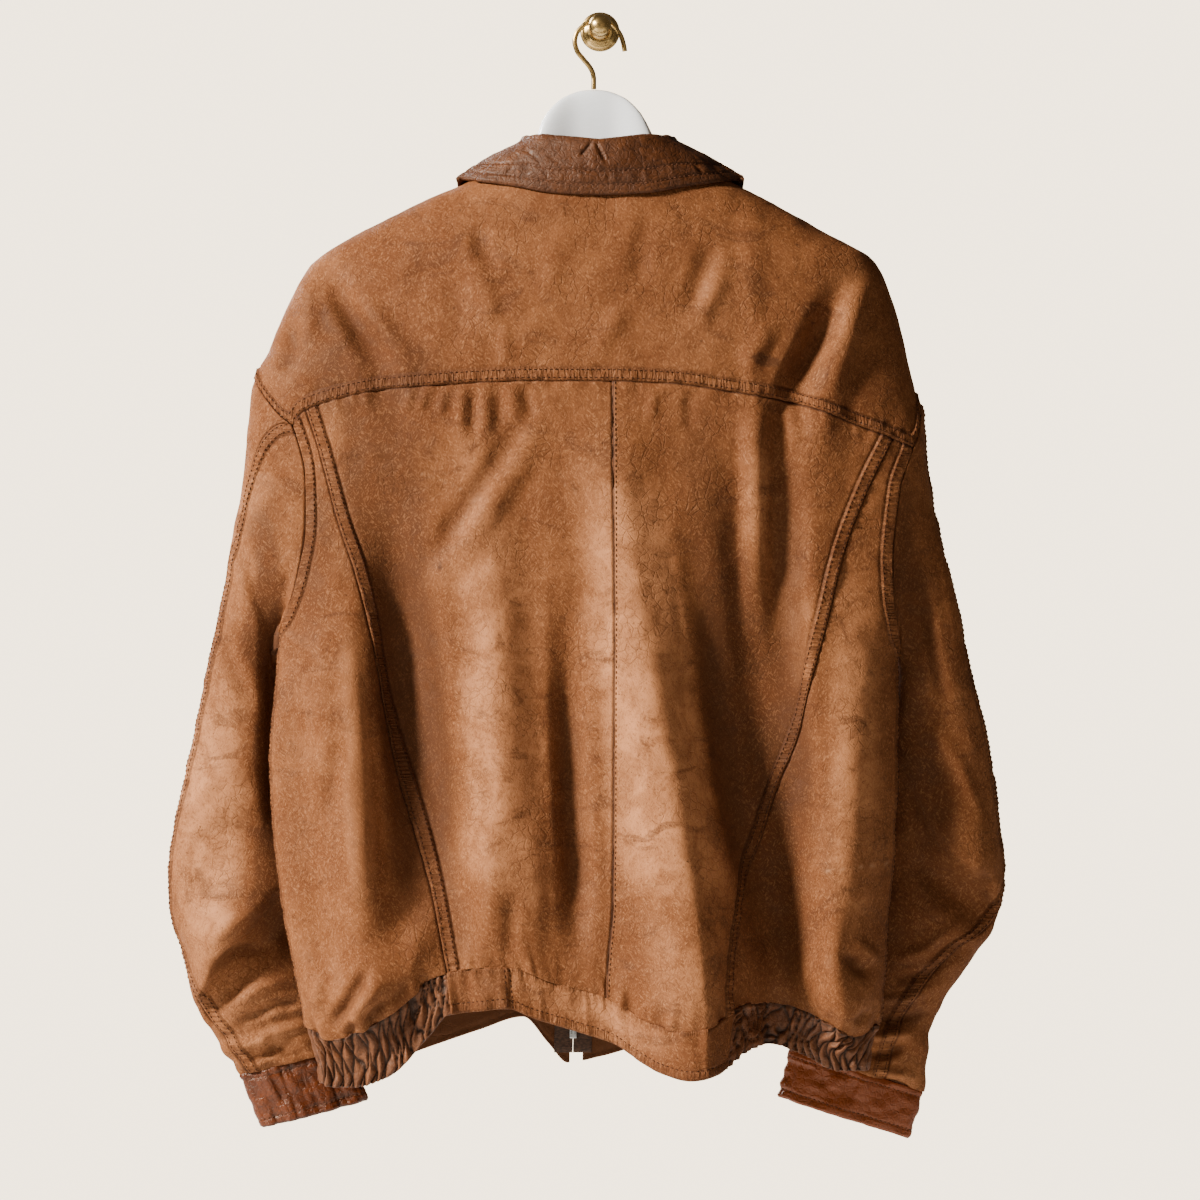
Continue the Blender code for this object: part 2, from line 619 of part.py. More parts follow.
def wall(name, points, normals, material, collection, thickness=LEATHER, raised=0.0, ring=False):
    """A closed wall whose outer face is a grid, raised over it, and whose inner face lies below.

    A ring's last column meets its first.
    """
    rows = len(points)
    columns = len(points[0])
    vertices = []
    for height in (raised, raised - thickness):
        for line, directions in zip(points, normals):
            vertices += [point + way * height for point, way in zip(line, directions)]
    layer = rows * columns

    def at(depth, row, column):
        return depth * layer + row * columns + column % columns

    faces = []
    last = columns if ring else columns - 1
    for depth in (0, 1):
        for row in range(rows - 1):
            for column in range(last):
                faces.append((
                    at(depth, row, column), at(depth, row, column + 1),
                    at(depth, row + 1, column + 1), at(depth, row + 1, column),
                ))
    for row in (0, rows - 1):
        for column in range(last):
            faces.append((
                at(0, row, column), at(0, row, column + 1),
                at(1, row, column + 1), at(1, row, column),
            ))
    if not ring:
        for column in (0, columns - 1):
            for row in range(rows - 1):
                faces.append((
                    at(0, row, column), at(0, row + 1, column),
                    at(1, row + 1, column), at(1, row, column),
                ))
    return add_object(name, mesh_from(name, vertices, faces), material, collection)


def solid_loft(name, sections, material, collection):
    """A closed solid through rings of equal length, with its two ends filled."""
    count = len(sections[0])
    vertices = [point for section in sections for point in section]
    faces = []
    for ring in range(len(sections) - 1):
        for index in range(count):
            following = (index + 1) % count
            faces.append((
                ring * count + index, ring * count + following,
                (ring + 1) * count + following, (ring + 1) * count + index,
            ))
    faces.append(tuple(range(count)))
    faces.append(tuple(range((len(sections) - 1) * count, len(sections) * count)))
    return add_object(name, mesh_from(name, vertices, faces), material, collection)


def make_material(name, colour, roughness, metallic=0.0):
    material = bpy.data.materials.new(name)
    material.use_nodes = True
    shader = material.node_tree.nodes["Principled BSDF"]
    shader.inputs["Base Color"].default_value = (*colour, 1.0)
    shader.inputs["Roughness"].default_value = roughness
    shader.inputs["Metallic"].default_value = metallic
    material.diffuse_color = (*colour, 1.0)
    return material


class Sleeve:
    """A sleeve's surface: a share runs down it, an angle round it from the outer edge.

    A quarter circle on is the side seen from behind, a half circle the inner edge.
    """

    def __init__(self, side, loop):
        self.side = side
        self.keys = [(index / (len(SLEEVES[side]) - 1), *row)
                     for index, row in enumerate(SLEEVES[side])]
        self.loop = loop

    def ring_at(self, share):
        """Centre, vector to the outer edge and vector to the back of the section at a share."""
        values = [smooth_column(self.keys, share, column) for column in range(1, 8)]
        outer = Vector((values[0], values[1], -values[2]))
        inner = Vector((values[3], values[4], -values[5]))
        reach = (outer - inner) / 2
        backward = Vector((0, -1, 0))
        backward -= reach * backward.dot(reach) / reach.length_squared
        return (outer + inner) / 2, reach, backward.normalized() * values[6]

    def armhole_point(self, angle):
        """The point of the armhole's edge at an angle."""
        angle %= 2 * pi
        for start, end in zip(self.loop, self.loop[1:]):
            if start[0] <= angle <= end[0]:
                return start[1].lerp(end[1], (angle - start[0]) / (end[0] - start[0]))
        return self.loop[0][1].copy()

    def elbow(self, point):
        """How far the cloth bulges above the elbow's fold and falls back below it."""
        fold = ELBOW_FOLDS[self.side]
        line = smooth(fold, point.x)
        above = (line + point.z) / ELBOW_REACH
        if above > 0:
            return ELBOW_BULGE * bell((above - 0.5) / 2.2)
        return ELBOW_BULGE * (2 * bell((above - 0.5) / 0.9) - 0.7 * bell((above + 0.9) / 1.2))

    def point(self, share, angle):
        centre, reach, backward = self.ring_at(share)
        place = (
            centre
            + reach * signed_power(cos(angle), SLEEVE_SQUARE)
            + backward * signed_power(sin(angle), SLEEVE_SQUARE)
        )
        facing = max(0.0, sin(angle))
        middle = bell((share - 0.66) / 0.34)
        place.y -= self.elbow(place) * ease(facing / 0.7) * middle
        if share < SLEEVE_JOIN:
            start = self.armhole_point(angle)
            outward = Vector((ARMHOLES[self.side]["sign"], 0, -0.25)) * (share / SLEEVE_JOIN) * 0.010
            place = (start + outward).lerp(place, ease(share / SLEEVE_JOIN))
        return place

    def normal(self, share, angle):
        step = 0.012
        low = max(share - step, 0.0)
        high = min(share + step, 1.0)
        along = self.point(high, angle) - self.point(low, angle)
        round_it = self.point(share, angle + 0.06) - self.point(share, angle - 0.06)
        return along.cross(round_it).normalized() * -ARMHOLES[self.side]["sign"]


def armhole_loop(lines):
    """The armhole's edge as (angle, point), from the shoulder tip by the back to the tip again."""
    top, back, front, _ = lines
    tip = SHOULDER_TURNS.index(1.0)
    behind = top[tip:] + back[1:]
    before = list(reversed(front[:-1])) + top[1:tip + 1]
    loop = []
    for places, start, turn in ((behind, 0.0, pi), ([behind[-1]] + before, pi, pi)):
        points = [body_point(*place) for place in places]
        lengths = [0.0]
        for first, second in zip(points, points[1:]):
            lengths.append(lengths[-1] + (second - first).length)
        part = [(start + turn * length / lengths[-1], point)
                for length, point in zip(lengths, points)]
        loop += part if not loop else part[1:]
    return loop


def share_normals(points, normals, shared):
    """Give a grid's points that lie on a shared edge the direction that both sides use there."""
    for line, ways in zip(points, normals):
        for column, point in enumerate(line):
            for place, way in shared:
                if (place - point).length < 0.0004:
                    ways[column] = way


def shared_armhole(lines, sleeve):
    """Points of an armhole's edge with a direction half way between body and sleeve."""
    top, back, front, _ = lines
    places = top + back + front
    angles = {tuple(round(value, 6) for value in point): angle for angle, point in sleeve.loop}
    shared = []
    for place in places:
        point = body_point(*place)
        angle = angles[tuple(round(value, 6) for value in point)]
        way = body_normal(*place) + sleeve.normal(0.0, angle)
        shared.append((point, way.normalized()))
    return shared


def build_sleeve(side, sleeve, shared, materials, collection):
    """The two pieces of a sleeve and its cuff."""
    loop_angles = [angle for angle, _ in sleeve.loop]
    underarm = min(range(len(loop_angles)), key=lambda index: abs(loop_angles[index] - pi))
    seam = list(BACK_SEAM[side])
    if seam[0][1] is None:
        corner = len(SHOULDER_TURNS) - SHOULDER_TURNS.index(1.0)
        seam[0] = (0.0, loop_angles[corner])
    else:
        corner = 0
    pieces = {
        "back": loop_angles[corner:underarm + 1],
        "front": loop_angles[underarm:] + [angle + 2 * pi for angle in loop_angles[1:corner + 1]],
    }
    last_rows = []
    for piece, angles in pieces.items():
        spread = [(angle - angles[0]) / (angles[-1] - angles[0]) for angle in angles]
        points, normals = [], []
        for row in range(SLEEVE_CELLS + 1):
            share = row / SLEEVE_CELLS
            back_angle = smooth(seam, share)
            inner_angle = pi + INNER_SEAM_TURN * ease(share / 0.3)
            if piece == "back":
                first, last = back_angle, inner_angle
            else:
                first, last = inner_angle, back_angle + 2 * pi
            ring = [mix(first, last, part) for part in spread]
            if row == 0:
                ring = angles
            points.append([sleeve.point(share, angle) for angle in ring])
            normals.append([sleeve.normal(share, angle) for angle in ring])
        share_normals(points, normals, shared)
        normals = softened(normals)
        last_rows.append((points[-1], normals[-1]))
        wall(f"sleeve_{side}_{piece}", drawn_in(points, SEAM_GAP), normals,
             materials["body"], collection)
    build_cuff(side, last_rows, materials["cuff"], collection)


def build_cuff(side, rows, material, collection):
    """The cuff band, carried on from the sleeve's lower edge."""
    ring = rows[0][0] + rows[1][0][1:-1]
    ways = rows[0][1] + rows[1][1][1:-1]
    centre = sum(ring, Vector()) / len(ring)
    down = Vector(CUFFS[side]["down"])
    points, normals = [], []
    for row in range(CUFF_CELLS + 1):
        share = row / CUFF_CELLS
        scale = mix(1.0, CUFFS[side]["narrowing"], share)
        gap = down.normalized() * SEAM_GAP / 2 if row == 0 else Vector()
        points.append([centre + (point - centre) * scale + down * share + gap for point in ring])
        normals.append(ways)
    wall(f"cuff_{side}", points, normals, material, collection, thickness=RIB, ring=True)


def build_body(materials, collection):
    """The yoke, back, side and front panels, with the sleeves that share their armholes."""
    lines = {side: armhole_lines(side) for side in ("left", "right")}
    sleeves = {side: Sleeve(side, armhole_loop(lines[side])) for side in lines}
    shared = []
    for side in lines:
        shared += shared_armhole(lines[side], sleeves[side])

    def yoke_drop(turn):
        return drop_on(YOKE_SEAM, turn, 0.30)

    left_corner = lines["left"][0][-1]
    right_corner = lines["right"][0][-1]
    left_down = seam_down(LEFT_PRINCESS, -0.2335)
    centre_down = seam_down(CENTRE_BACK, 0.010)
    right_down = seam_down(RIGHT_PRINCESS, 0.2355)
    tops = [
        across(left_corner, left_down[0], SIDE_BACK_CELLS, yoke_drop),
        across(left_down[0], centre_down[0], LEFT_BACK_CELLS, yoke_drop),
        across(centre_down[0], right_down[0], RIGHT_BACK_CELLS, yoke_drop),
        across(right_down[0], right_corner, SIDE_BACK_CELLS, yoke_drop),
    ]
    side_down = {}
    for side in lines:
        back = lines[side][1]
        side_down[side] = back + side_seam(side, back[-1][1])[1:]
    bottoms = [
        across(side_down["left"][-1], left_down[-1], SIDE_BACK_CELLS, waist_drop),
        across(left_down[-1], centre_down[-1], LEFT_BACK_CELLS, waist_drop),
        across(centre_down[-1], right_down[-1], RIGHT_BACK_CELLS, waist_drop),
        across(right_down[-1], side_down["right"][-1], SIDE_BACK_CELLS, waist_drop),
    ]
    downs = [side_down["left"], left_down, centre_down, right_down, side_down["right"]]
    names = ["side_back_left", "back_left", "back_right", "side_back_right"]
    for index, name in enumerate(names):
        grid = patch(tops[index], bottoms[index], downs[index], downs[index + 1])
        points, normals = on_body(grid)
        share_normals(points, normals, shared)
        wall(name, drawn_in(points, SEAM_GAP), normals, materials["body"], collection)

    yoke_bottom = lines["left"][0][:-1] + tops[0][:-1] + tops[1][:-1] + tops[2][:-1] + tops[3]
    yoke_bottom += list(reversed(lines["right"][0][:-1]))
    yoke_top = [(turn, smooth(NECK, abs(turn))) for turn, _ in yoke_bottom]
    yoke_ends = []
    for end in (0, -1):
        turn, top = yoke_top[end]
        bottom = yoke_bottom[end][1]
        yoke_ends.append([(turn, mix(top, bottom, row / YOKE_CELLS))
                          for row in range(YOKE_CELLS + 1)])
    points, normals = on_body(patch(yoke_top, yoke_bottom, yoke_ends[0], yoke_ends[1]))
    share_normals(points, normals, shared)
    wall("back_yoke", drawn_in(points, SEAM_GAP), normals, materials["body"], collection)

    waists, necks = build_fronts(lines, yoke_ends, shared, materials, collection)
    build_waistband(bottoms, waists, materials, collection)
    for side in lines:
        build_sleeve(side, sleeves[side], shared, materials, collection)
    build_collar(necks["left"][::-1] + yoke_top[1:-1] + necks["right"], materials, collection)


def build_fronts(lines, yoke_ends, shared, materials, collection):
    """The two fronts. Returns their waist and neck lines, which end at the zip."""
    waists = {}
    necks = {}
    for side, yoke_end in zip(("left", "right"), yoke_ends):
        sign = ARMHOLES[side]["sign"]
        front = lines[side][2]
        outer = yoke_end + front[1:] + side_seam(side, front[-1][1])[1:]

        def edge_turn(drop):
            return turn_at(smooth(ZIP_LINE, drop) + sign * ZIP_OPENING, drop, sign)

        neck_turn = edge_turn(0.166)
        neck = (neck_turn, smooth(NECK, abs(neck_turn)))
        waist_turn = edge_turn(0.79)
        waist = (waist_turn, waist_drop(waist_turn))
        span = outer[-1][1] - outer[0][1]
        inner = []
        for _, drop in outer:
            level = mix(neck[1], waist[1], (drop - outer[0][1]) / span)
            inner.append((edge_turn(level), level))
        inner[0], inner[-1] = neck, waist
        top = across(outer[0], neck, FRONT_CELLS, lambda turn: smooth(NECK, abs(turn)))
        bottom = across(outer[-1], waist, FRONT_CELLS, waist_drop)
        waists[side] = bottom
        necks[side] = top
        points, normals = on_body(patch(top, bottom, outer, inner))
        share_normals(points, normals, shared)
        wall(f"front_{side}", drawn_in(points, SEAM_GAP), normals, materials["body"], collection)
    return waists, necks


def band(name, line, material, collection, split=1, waves=0.0, ends="tlr"):
    """A piece of waistband hung from its stretch of the waist line, gathered where it has waves."""
    rows = 3
    cells = (len(line) - 1) * split
    top_points = [body_point(*place) for place in line]
    top_ways = [body_normal(*place) for place in line]
    points, normals = [], []
    for row in range(rows + 1):
        down = row / rows
        points.append([])
        normals.append([])
        for cell in range(cells + 1):
            index = min(cell // split, len(line) - 2)
            share = cell / split - index
            turn = mix(line[index][0], line[index + 1][0], share)
            top = mix(line[index][1], line[index + 1][1], share)
            way = top_ways[index].lerp(top_ways[index + 1], share).normalized()
            if row == 0:
                point = top_points[index].lerp(top_points[index + 1], share)
            else:
                drop = mix(top, hem_drop(turn), down)
                way = way.lerp(body_normal(turn, drop), down).normalized()
                point = body_point(turn, drop)
                fade = ease(min(cell, cells - cell) / 3)
                point += way * waves * fade * cos(cell * QUARTER_TURN) * (0.6 + 0.4 * sin(pi * down))
            points[-1].append(point)
            normals[-1].append(way)
    wall(name, drawn_in(points, SEAM_GAP, ends), normals, material, collection)


def build_waistband(bottoms, fronts, materials, collection):
    """Two plain pieces across the back, two gathered sides and two plain front ends."""
    side_left = list(reversed(bottoms[0]))
    band("waistband_back_left", bottoms[1][:BAND_JOINT_CELL + 1], materials["band"], collection)
    band("waistband_back_right", bottoms[1][BAND_JOINT_CELL:] + bottoms[2][1:],
         materials["band"], collection)
    for side, back_line in (("left", side_left), ("right", bottoms[3])):
        elastic = back_line + fronts[side][1:ELASTIC_FRONT_CELLS + 1]
        band(f"waistband_{side}", elastic, materials["elastic"], collection,
             split=ELASTIC_SPLIT, waves=GATHER_HEIGHT)
        band(f"waistband_front_{side}", fronts[side][ELASTIC_FRONT_CELLS:], materials["band"],
             collection)


def fall_edge(turn):
    """The collar's lower edge, laid a little over the body."""
    size = abs(turn)
    sign = -1 if turn < 0 else 1
    x = sign * smooth(FALL_EDGE_X, size)
    drop = smooth(FALL_EDGE_DROP, size)
    if size <= 1:
        place = turn_at(x, drop)
        if abs(x) > CREST_START:
            place = sign * mix(0.80, 1.0, ease((abs(x) - CREST_START) / CREST_WIDTH))
    else:
        place = turn_at(x, drop, sign)
    point = body_point(place, drop)
    way = body_normal(place, drop)
    base = Vector((x, point.y, -drop))
    return base + way * (COLLAR_HALF + FALL_LIFT)


def clear_of_body(point, turn):
    """The point, moved off the back or front of the body where it would come too near."""
    drop = -point.z
    if drop < NECK[0][1] or abs(abs(turn) - 1) < 0.12:
        return point
    if abs(turn) < 1:
        surface = body_point(turn_at(point.x, drop), drop).y
        point.y = min(point.y, surface - COLLAR_HALF - FALL_LIFT)
    else:
        surface = body_point(turn_at(point.x, drop, 1 if turn > 0 else -1), drop).y
        point.y = max(point.y, surface + COLLAR_HALF + FALL_LIFT)
    return point


def build_collar(neck, materials, collection):
    """A one-piece collar: the stand rises from the neck seam, rolls over and falls outwards."""
    lines = []
    first_ways = []
    for turn, neck_drop in neck:
        seam = body_point(turn, neck_drop)
        way = body_normal(turn, neck_drop)
        upward = (seam - body_point(turn, neck_drop + 0.004)).normalized()
        start = seam - way * LEATHER / 2 + upward * SEAM_GAP
        facing = cos(turn * QUARTER_TURN)
        depth = ROLL_BACK if facing >= 0 else ROLL_FRONT
        out = Vector((ROLL_HALF_WIDTH * sin(turn * QUARTER_TURN), -depth * facing, 0))
        if facing < 0:
            out.y = depth * (-facing) ** ROLL_FRONT_POWER
        roll = Vector((ROLL_MIDDLE[0], ROLL_MIDDLE[1], -smooth(ROLL_DROP, abs(turn)))) + out
        outward = Vector((out.x / ROLL_HALF_WIDTH ** 2, out.y / depth ** 2, 0)).normalized()
        edge = fall_edge(turn)
        radius = smooth(ROLL_RADIUS, abs(turn))
        inner_top = roll - outward * radius - Vector((0, 0, radius))
        outer_top = roll + outward * radius - Vector((0, 0, radius))
        line = [start, start.lerp(inner_top, 0.5), inner_top, roll]
        slope = (edge - outer_top).normalized()
        lifted = slope.cross(slope.cross(Vector((0, 0, 1)) + outward)).normalized()
        if lifted.dot(outward + Vector((0, 0, 1))) < 0:
            lifted = -lifted
        for row in range(FALL_ROWS + 1):
            share = row / FALL_ROWS
            bulge = smooth(FALL_BULGE, abs(turn)) * sin(pi * share)
            line.append(clear_of_body(outer_top.lerp(edge, share) + lifted * bulge, turn))
        lines.append(line)
        first_ways.append(way)
    rows = len(lines[0])
    points = [[line[row] for line in lines] for row in range(rows)]
    normals = softened(grid_normals(points))
    normals[0] = first_ways
    wall("collar", points, normals, materials["collar"], collection,
         thickness=2 * COLLAR_HALF, raised=COLLAR_HALF)


def zip_place(offset, drop, sign):
    """Point and direction on the front, a distance beside the zip's line."""
    turn = turn_at(smooth(ZIP_LINE, drop) + offset, drop, sign)
    return body_point(turn, drop), body_normal(turn, drop)


def block(name, centre, size, material, collection, rounding=0.0):
    """A box, its edges rounded off."""
    mesh = bpy.data.meshes.new(name)
    work = bmesh.new()
    shape = Matrix.Translation(centre) @ Matrix.Diagonal((*size, 1.0))
    bmesh.ops.create_cube(work, size=1.0, matrix=shape)
    work.to_mesh(mesh)
    work.free()
    item = add_object(name, mesh, material, collection)
    if rounding:
        bevel = item.modifiers.new("Rounding", "BEVEL")
        bevel.width = rounding
        bevel.segments = 2
    return item


def rod(name, centre, radius, length, material, collection):
    """A round rod that lies along X."""
    mesh = bpy.data.meshes.new(name)
    work = bmesh.new()
    shape = Matrix.Translation(centre) @ Matrix.Rotation(QUARTER_TURN, 4, "Y")
    bmesh.ops.create_cone(work, cap_ends=True, segments=20, radius1=radius, radius2=radius,
                          depth=length, matrix=shape)
    work.to_mesh(mesh)
    work.free()
    return add_object(name, mesh, material, collection)


def combine(item, tool, operation):
    """Join a helper solid to an object, or cut it away."""
    change = item.modifiers.new(tool.name, "BOOLEAN")
    change.object = tool
    change.operation = operation
    change.solver = "EXACT"
    tool.hide_render = True
    tool.hide_viewport = True


def build_tapes(materials, collection):
    """The two zip tapes behind the fronts' edges."""
    for side, sign in (("left", -1), ("right", 1)):
        points, normals = [], []
        for row in range(TAPE_CELLS + 1):
            drop = mix(TAPE_TOP, TAPE_BOTTOM, row / TAPE_CELLS)
            places = [zip_place(sign * offset, drop, sign) for offset in TAPE_OFFSETS]
            points.append([point - way * TAPE_DEPTH for point, way in places])
            normals.append([way for _, way in places])
        wall(f"zip_tape_{side}", points, normals, materials["tape"], collection,
             thickness=TAPE_THICKNESS)


def build_slider(materials, collection):
    """The slider near the zip's top, with two ears that hold a pin, and the tab hung on the pin."""
    surface, _ = zip_place(0.0, SLIDER_DROP, 1)
    metal = materials["metal"]
    width, depth, height = SLIDER_SIZE
    inner_face = surface.y - TAPE_DEPTH + SLIDER_CLEARANCE
    centre = Vector((surface.x, inner_face + depth / 2, -SLIDER_DROP))
    pin = Vector((surface.x, inner_face + depth + PIN_LIFT, -SLIDER_DROP + height * 0.2))
    slider = block("zip_slider", centre, (width, depth, height), metal, collection, 0.0008)
    for sign in (-1, 1):
        ear_centre = pin + Vector((sign * EAR_OFFSET, EAR_ABOVE_PIN - EAR_SIZE[1] / 2, 0))
        ear = block(f"ear {sign}", ear_centre, EAR_SIZE, metal, collection)
        combine(slider, ear, "UNION")
    combine(slider, rod("pin", pin, PIN_RADIUS, PIN_LENGTH, metal, collection), "UNION")

    tab_centre = pin - Vector((0, 0, TAB_HANG))
    tab = block("zip_pull", tab_centre, TAB_SIZE, metal, collection, 0.0005)
    neck_centre = pin - Vector((0, 0, TAB_NECK_HANG))
    neck = block("tab neck", neck_centre, TAB_NECK_SIZE, metal, collection)
    combine(tab, neck, "UNION")
    combine(tab, rod("tab eye", pin, EYE_RADIUS, EYE_LENGTH, metal, collection), "UNION")
    bore = rod("tab bore", pin, PIN_RADIUS + PIN_PLAY, 2 * PIN_LENGTH, metal, collection)
    combine(tab, bore, "DIFFERENCE")


def build_zip_box(materials, collection):
    """The metal box at the zip's foot, laid on the tapes' inner side."""
    surface, _ = zip_place(0.0, ZIP_BOX_DROP, 1)
    width, depth, height = ZIP_BOX_SIZE
    outer_face = surface.y - TAPE_DEPTH - TAPE_THICKNESS - ZIP_BOX_CLEARANCE
    centre = Vector((surface.x, outer_face - depth / 2, -ZIP_BOX_DROP))
    block("zip_box", centre, ZIP_BOX_SIZE, materials["metal"], collection, 0.0006)


def build_hanger(materials, collection):
    """The white hanger: a domed neck between two arms that follow the shoulders."""
    crests = [(x, drop) for drop, x in reversed(LEFT_SIDE[1:7])]
    crests += [(x, drop) for drop, x in RIGHT_SIDE[1:7]]
    lift = LEATHER + HANGER_CLEARANCE
    outline = [(x, drop + lift * 1.25) for x, drop in crests if 0.10 < abs(x) < 0.205]
    outline += HANGER_TOP
    outline.sort()
    sections = []
    for x, top in outline:
        share = abs(x - HANGER_MIDDLE) / HANGER_REACH
        height = mix(0.080, 0.030, ease(share / 0.35)) * (1 - share ** 10) ** 0.5 + 0.002
        half_depth = mix(0.0058, 0.009, ease((share - 0.3) / 0.3)) * (1 - 0.75 * share ** 8)
        centre = mix(HOOK_PLANE, HANGER_ARM_PLANE, ease((share - 0.05) / 0.15))
        ring = []
        for side in range(HANGER_SIDES):
            angle = 2 * pi * side / HANGER_SIDES
            y = centre + half_depth * signed_power(sin(angle), 0.8)
            z = -(top + height / 2) + height / 2 * signed_power(cos(angle), 0.9)
            ring.append(Vector((x, y, z)))
        sections.append(ring)
    solid_loft("hanger", sections, materials["hanger"], collection)


def build_hook(materials, collection):
    """The wire hook, from the hanger's neck over the knob."""
    curve = bpy.data.curves.new("hanger_hook", "CURVE")
    curve.dimensions = "3D"
    curve.bevel_depth = WIRE_RADIUS
    curve.bevel_resolution = 2
    curve.use_fill_caps = True
    spline = curve.splines.new("POLY")
    spline.points.add(len(HOOK_ROUTE) - 1)
    for point, (x, z) in zip(spline.points, HOOK_ROUTE):
        point.co = (x, HOOK_PLANE, z, 1.0)
    curve.materials.append(materials["brass"])
    item = bpy.data.objects.new("hanger_hook", curve)
    collection.objects.link(item)


def turned(name, profile, material, collection):
    """A turned solid whose axis runs from the wall towards the room. Profile: radius, reach."""
    mesh = bpy.data.meshes.new(name)
    count = len(profile)
    mesh.from_pydata([(radius, 0, reach) for radius, reach in profile], [],
                     [(index, index + 1) for index in range(count - 1)])
    mesh.materials.append(material)
    item = bpy.data.objects.new(name, mesh)
    item.rotation_euler = (QUARTER_TURN, 0, 0)
    screw = item.modifiers.new("Turn", "SCREW")
    screw.steps = TURNING_STEPS
    screw.render_steps = TURNING_STEPS
    screw.use_merge_vertices = True
    screw.merge_threshold = 0.00001
    screw.use_smooth_shade = True
    screw.use_normal_flip = True
    collection.objects.link(item)


def build_knob(materials, collection):
    """The stepped rosette, and the stem and ball that the hook hangs over."""
    turned("wall_rosette", ROSETTE_PROFILE, materials["brass"], collection)
    ball = []
    for step in range(BALL_STEPS + 1):
        angle = mix(0.0, BALL_ARC, step / BALL_STEPS)
        ball.append((BALL_RADIUS * sin(angle), BALL_REACH + BALL_RADIUS * cos(angle)))
    neck = (KNOB_NECK_RADIUS, BALL_REACH - BALL_RADIUS - 0.0002)
    turned("wall_knob", ball + [neck] + STEM_PROFILE, materials["brass"], collection)


def clear_scene():
    for item in list(bpy.data.objects):
        bpy.data.objects.remove(item)


def main():
    clear_scene()
    collection = bpy.data.collections.new("worn_leather_jacket")
    bpy.context.scene.collection.children.link(collection)
    materials = {
        "body": make_material("tan_leather", (0.30, 0.13, 0.055), 0.75),
        "band": make_material("waistband_leather", (0.27, 0.11, 0.045), 0.65),
        "elastic": make_material("gathered_leather", (0.16, 0.055, 0.022), 0.55),
        "cuff": make_material("cuff_leather", (0.17, 0.045, 0.02), 0.4),
        "collar": make_material("collar_leather", (0.17, 0.06, 0.028), 0.5),
        "tape": make_material("zip_tape", (0.05, 0.03, 0.02), 0.8),
        "metal": make_material("zip_metal", (0.6, 0.6, 0.58), 0.35, 1.0),
        "hanger": make_material("hanger_white", (0.85, 0.84, 0.82), 0.3),
        "brass": make_material("brass", (0.6, 0.42, 0.16), 0.3, 1.0),
    }
    build_body(materials, collection)
    build_tapes(materials, collection)
    build_slider(materials, collection)
    build_zip_box(materials, collection)
    build_hanger(materials, collection)
    build_hook(materials, collection)
    build_knob(materials, collection)


main()
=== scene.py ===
"""Worn leather blouson jacket hung on a dome-necked hanger, over a ball knob on a wall rosette.

Metres, +Z up, the jacket's back faces -Y. Heights are given as drops: metres below the origin. The
body is one surface: a turn goes round it (0 the centre back, 1 and -1 the side edges, 2 and -2 the
centre front) and a drop goes down it. Each panel is a thin shell on a fine grid of that surface,
with the relief of its seams, gathers and creases added outwards.
"""

import bpy
import json
import numpy as np
from itertools import product
from math import cos, pi, sin
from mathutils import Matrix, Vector

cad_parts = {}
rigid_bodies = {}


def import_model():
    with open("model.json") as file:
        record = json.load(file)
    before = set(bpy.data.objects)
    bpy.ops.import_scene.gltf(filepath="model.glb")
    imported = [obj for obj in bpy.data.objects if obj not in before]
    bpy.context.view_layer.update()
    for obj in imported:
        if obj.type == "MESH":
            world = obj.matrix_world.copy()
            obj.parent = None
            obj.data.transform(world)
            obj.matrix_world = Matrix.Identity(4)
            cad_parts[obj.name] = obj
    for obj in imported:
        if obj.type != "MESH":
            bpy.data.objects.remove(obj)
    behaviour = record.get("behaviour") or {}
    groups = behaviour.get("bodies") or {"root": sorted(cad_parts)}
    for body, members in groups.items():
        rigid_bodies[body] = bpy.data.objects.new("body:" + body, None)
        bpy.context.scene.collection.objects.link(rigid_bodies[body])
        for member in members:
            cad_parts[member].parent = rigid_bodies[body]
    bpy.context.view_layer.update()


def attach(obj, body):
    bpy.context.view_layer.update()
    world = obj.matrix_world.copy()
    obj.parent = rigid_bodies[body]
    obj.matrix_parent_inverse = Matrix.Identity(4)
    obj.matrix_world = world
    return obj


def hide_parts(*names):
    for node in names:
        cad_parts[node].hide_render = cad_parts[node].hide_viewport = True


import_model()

LEATHER = 0.0020
RIB = 0.0024
COLLAR_HALF = 0.0012
SEAM_GAP = 0.00034
QUARTER_TURN = pi / 2

# The body's side edges: drop, then x. Down to the shoulder tips these are the shoulder crests.
LEFT_SIDE = [
    (0.117, -0.088), (0.129, -0.115), (0.150, -0.161), (0.171, -0.201), (0.182, -0.220),
    (0.194, -0.234), (0.213, -0.245), (0.236, -0.255), (0.260, -0.265), (0.284, -0.276),
    (0.305, -0.272), (0.330, -0.264), (0.365, -0.257), (0.448, -0.254), (0.522, -0.259),
    (0.589, -0.264), (0.645, -0.261), (0.701, -0.254), (0.749, -0.245), (0.805, -0.233),
    (0.822, -0.226), (0.850, -0.222),
]
RIGHT_SIDE = [
    (0.117, 0.088), (0.130, 0.114), (0.154, 0.161), (0.177, 0.201), (0.186, 0.217),
    (0.200, 0.227), (0.220, 0.234), (0.248, 0.242), (0.276, 0.249), (0.304, 0.256),
    (0.340, 0.263), (0.365, 0.262), (0.397, 0.257), (0.437, 0.250), (0.473, 0.243),
    (0.508, 0.238), (0.558, 0.238), (0.667, 0.235), (0.717, 0.230), (0.791, 0.224),
    (0.812, 0.218), (0.850, 0.210),
]
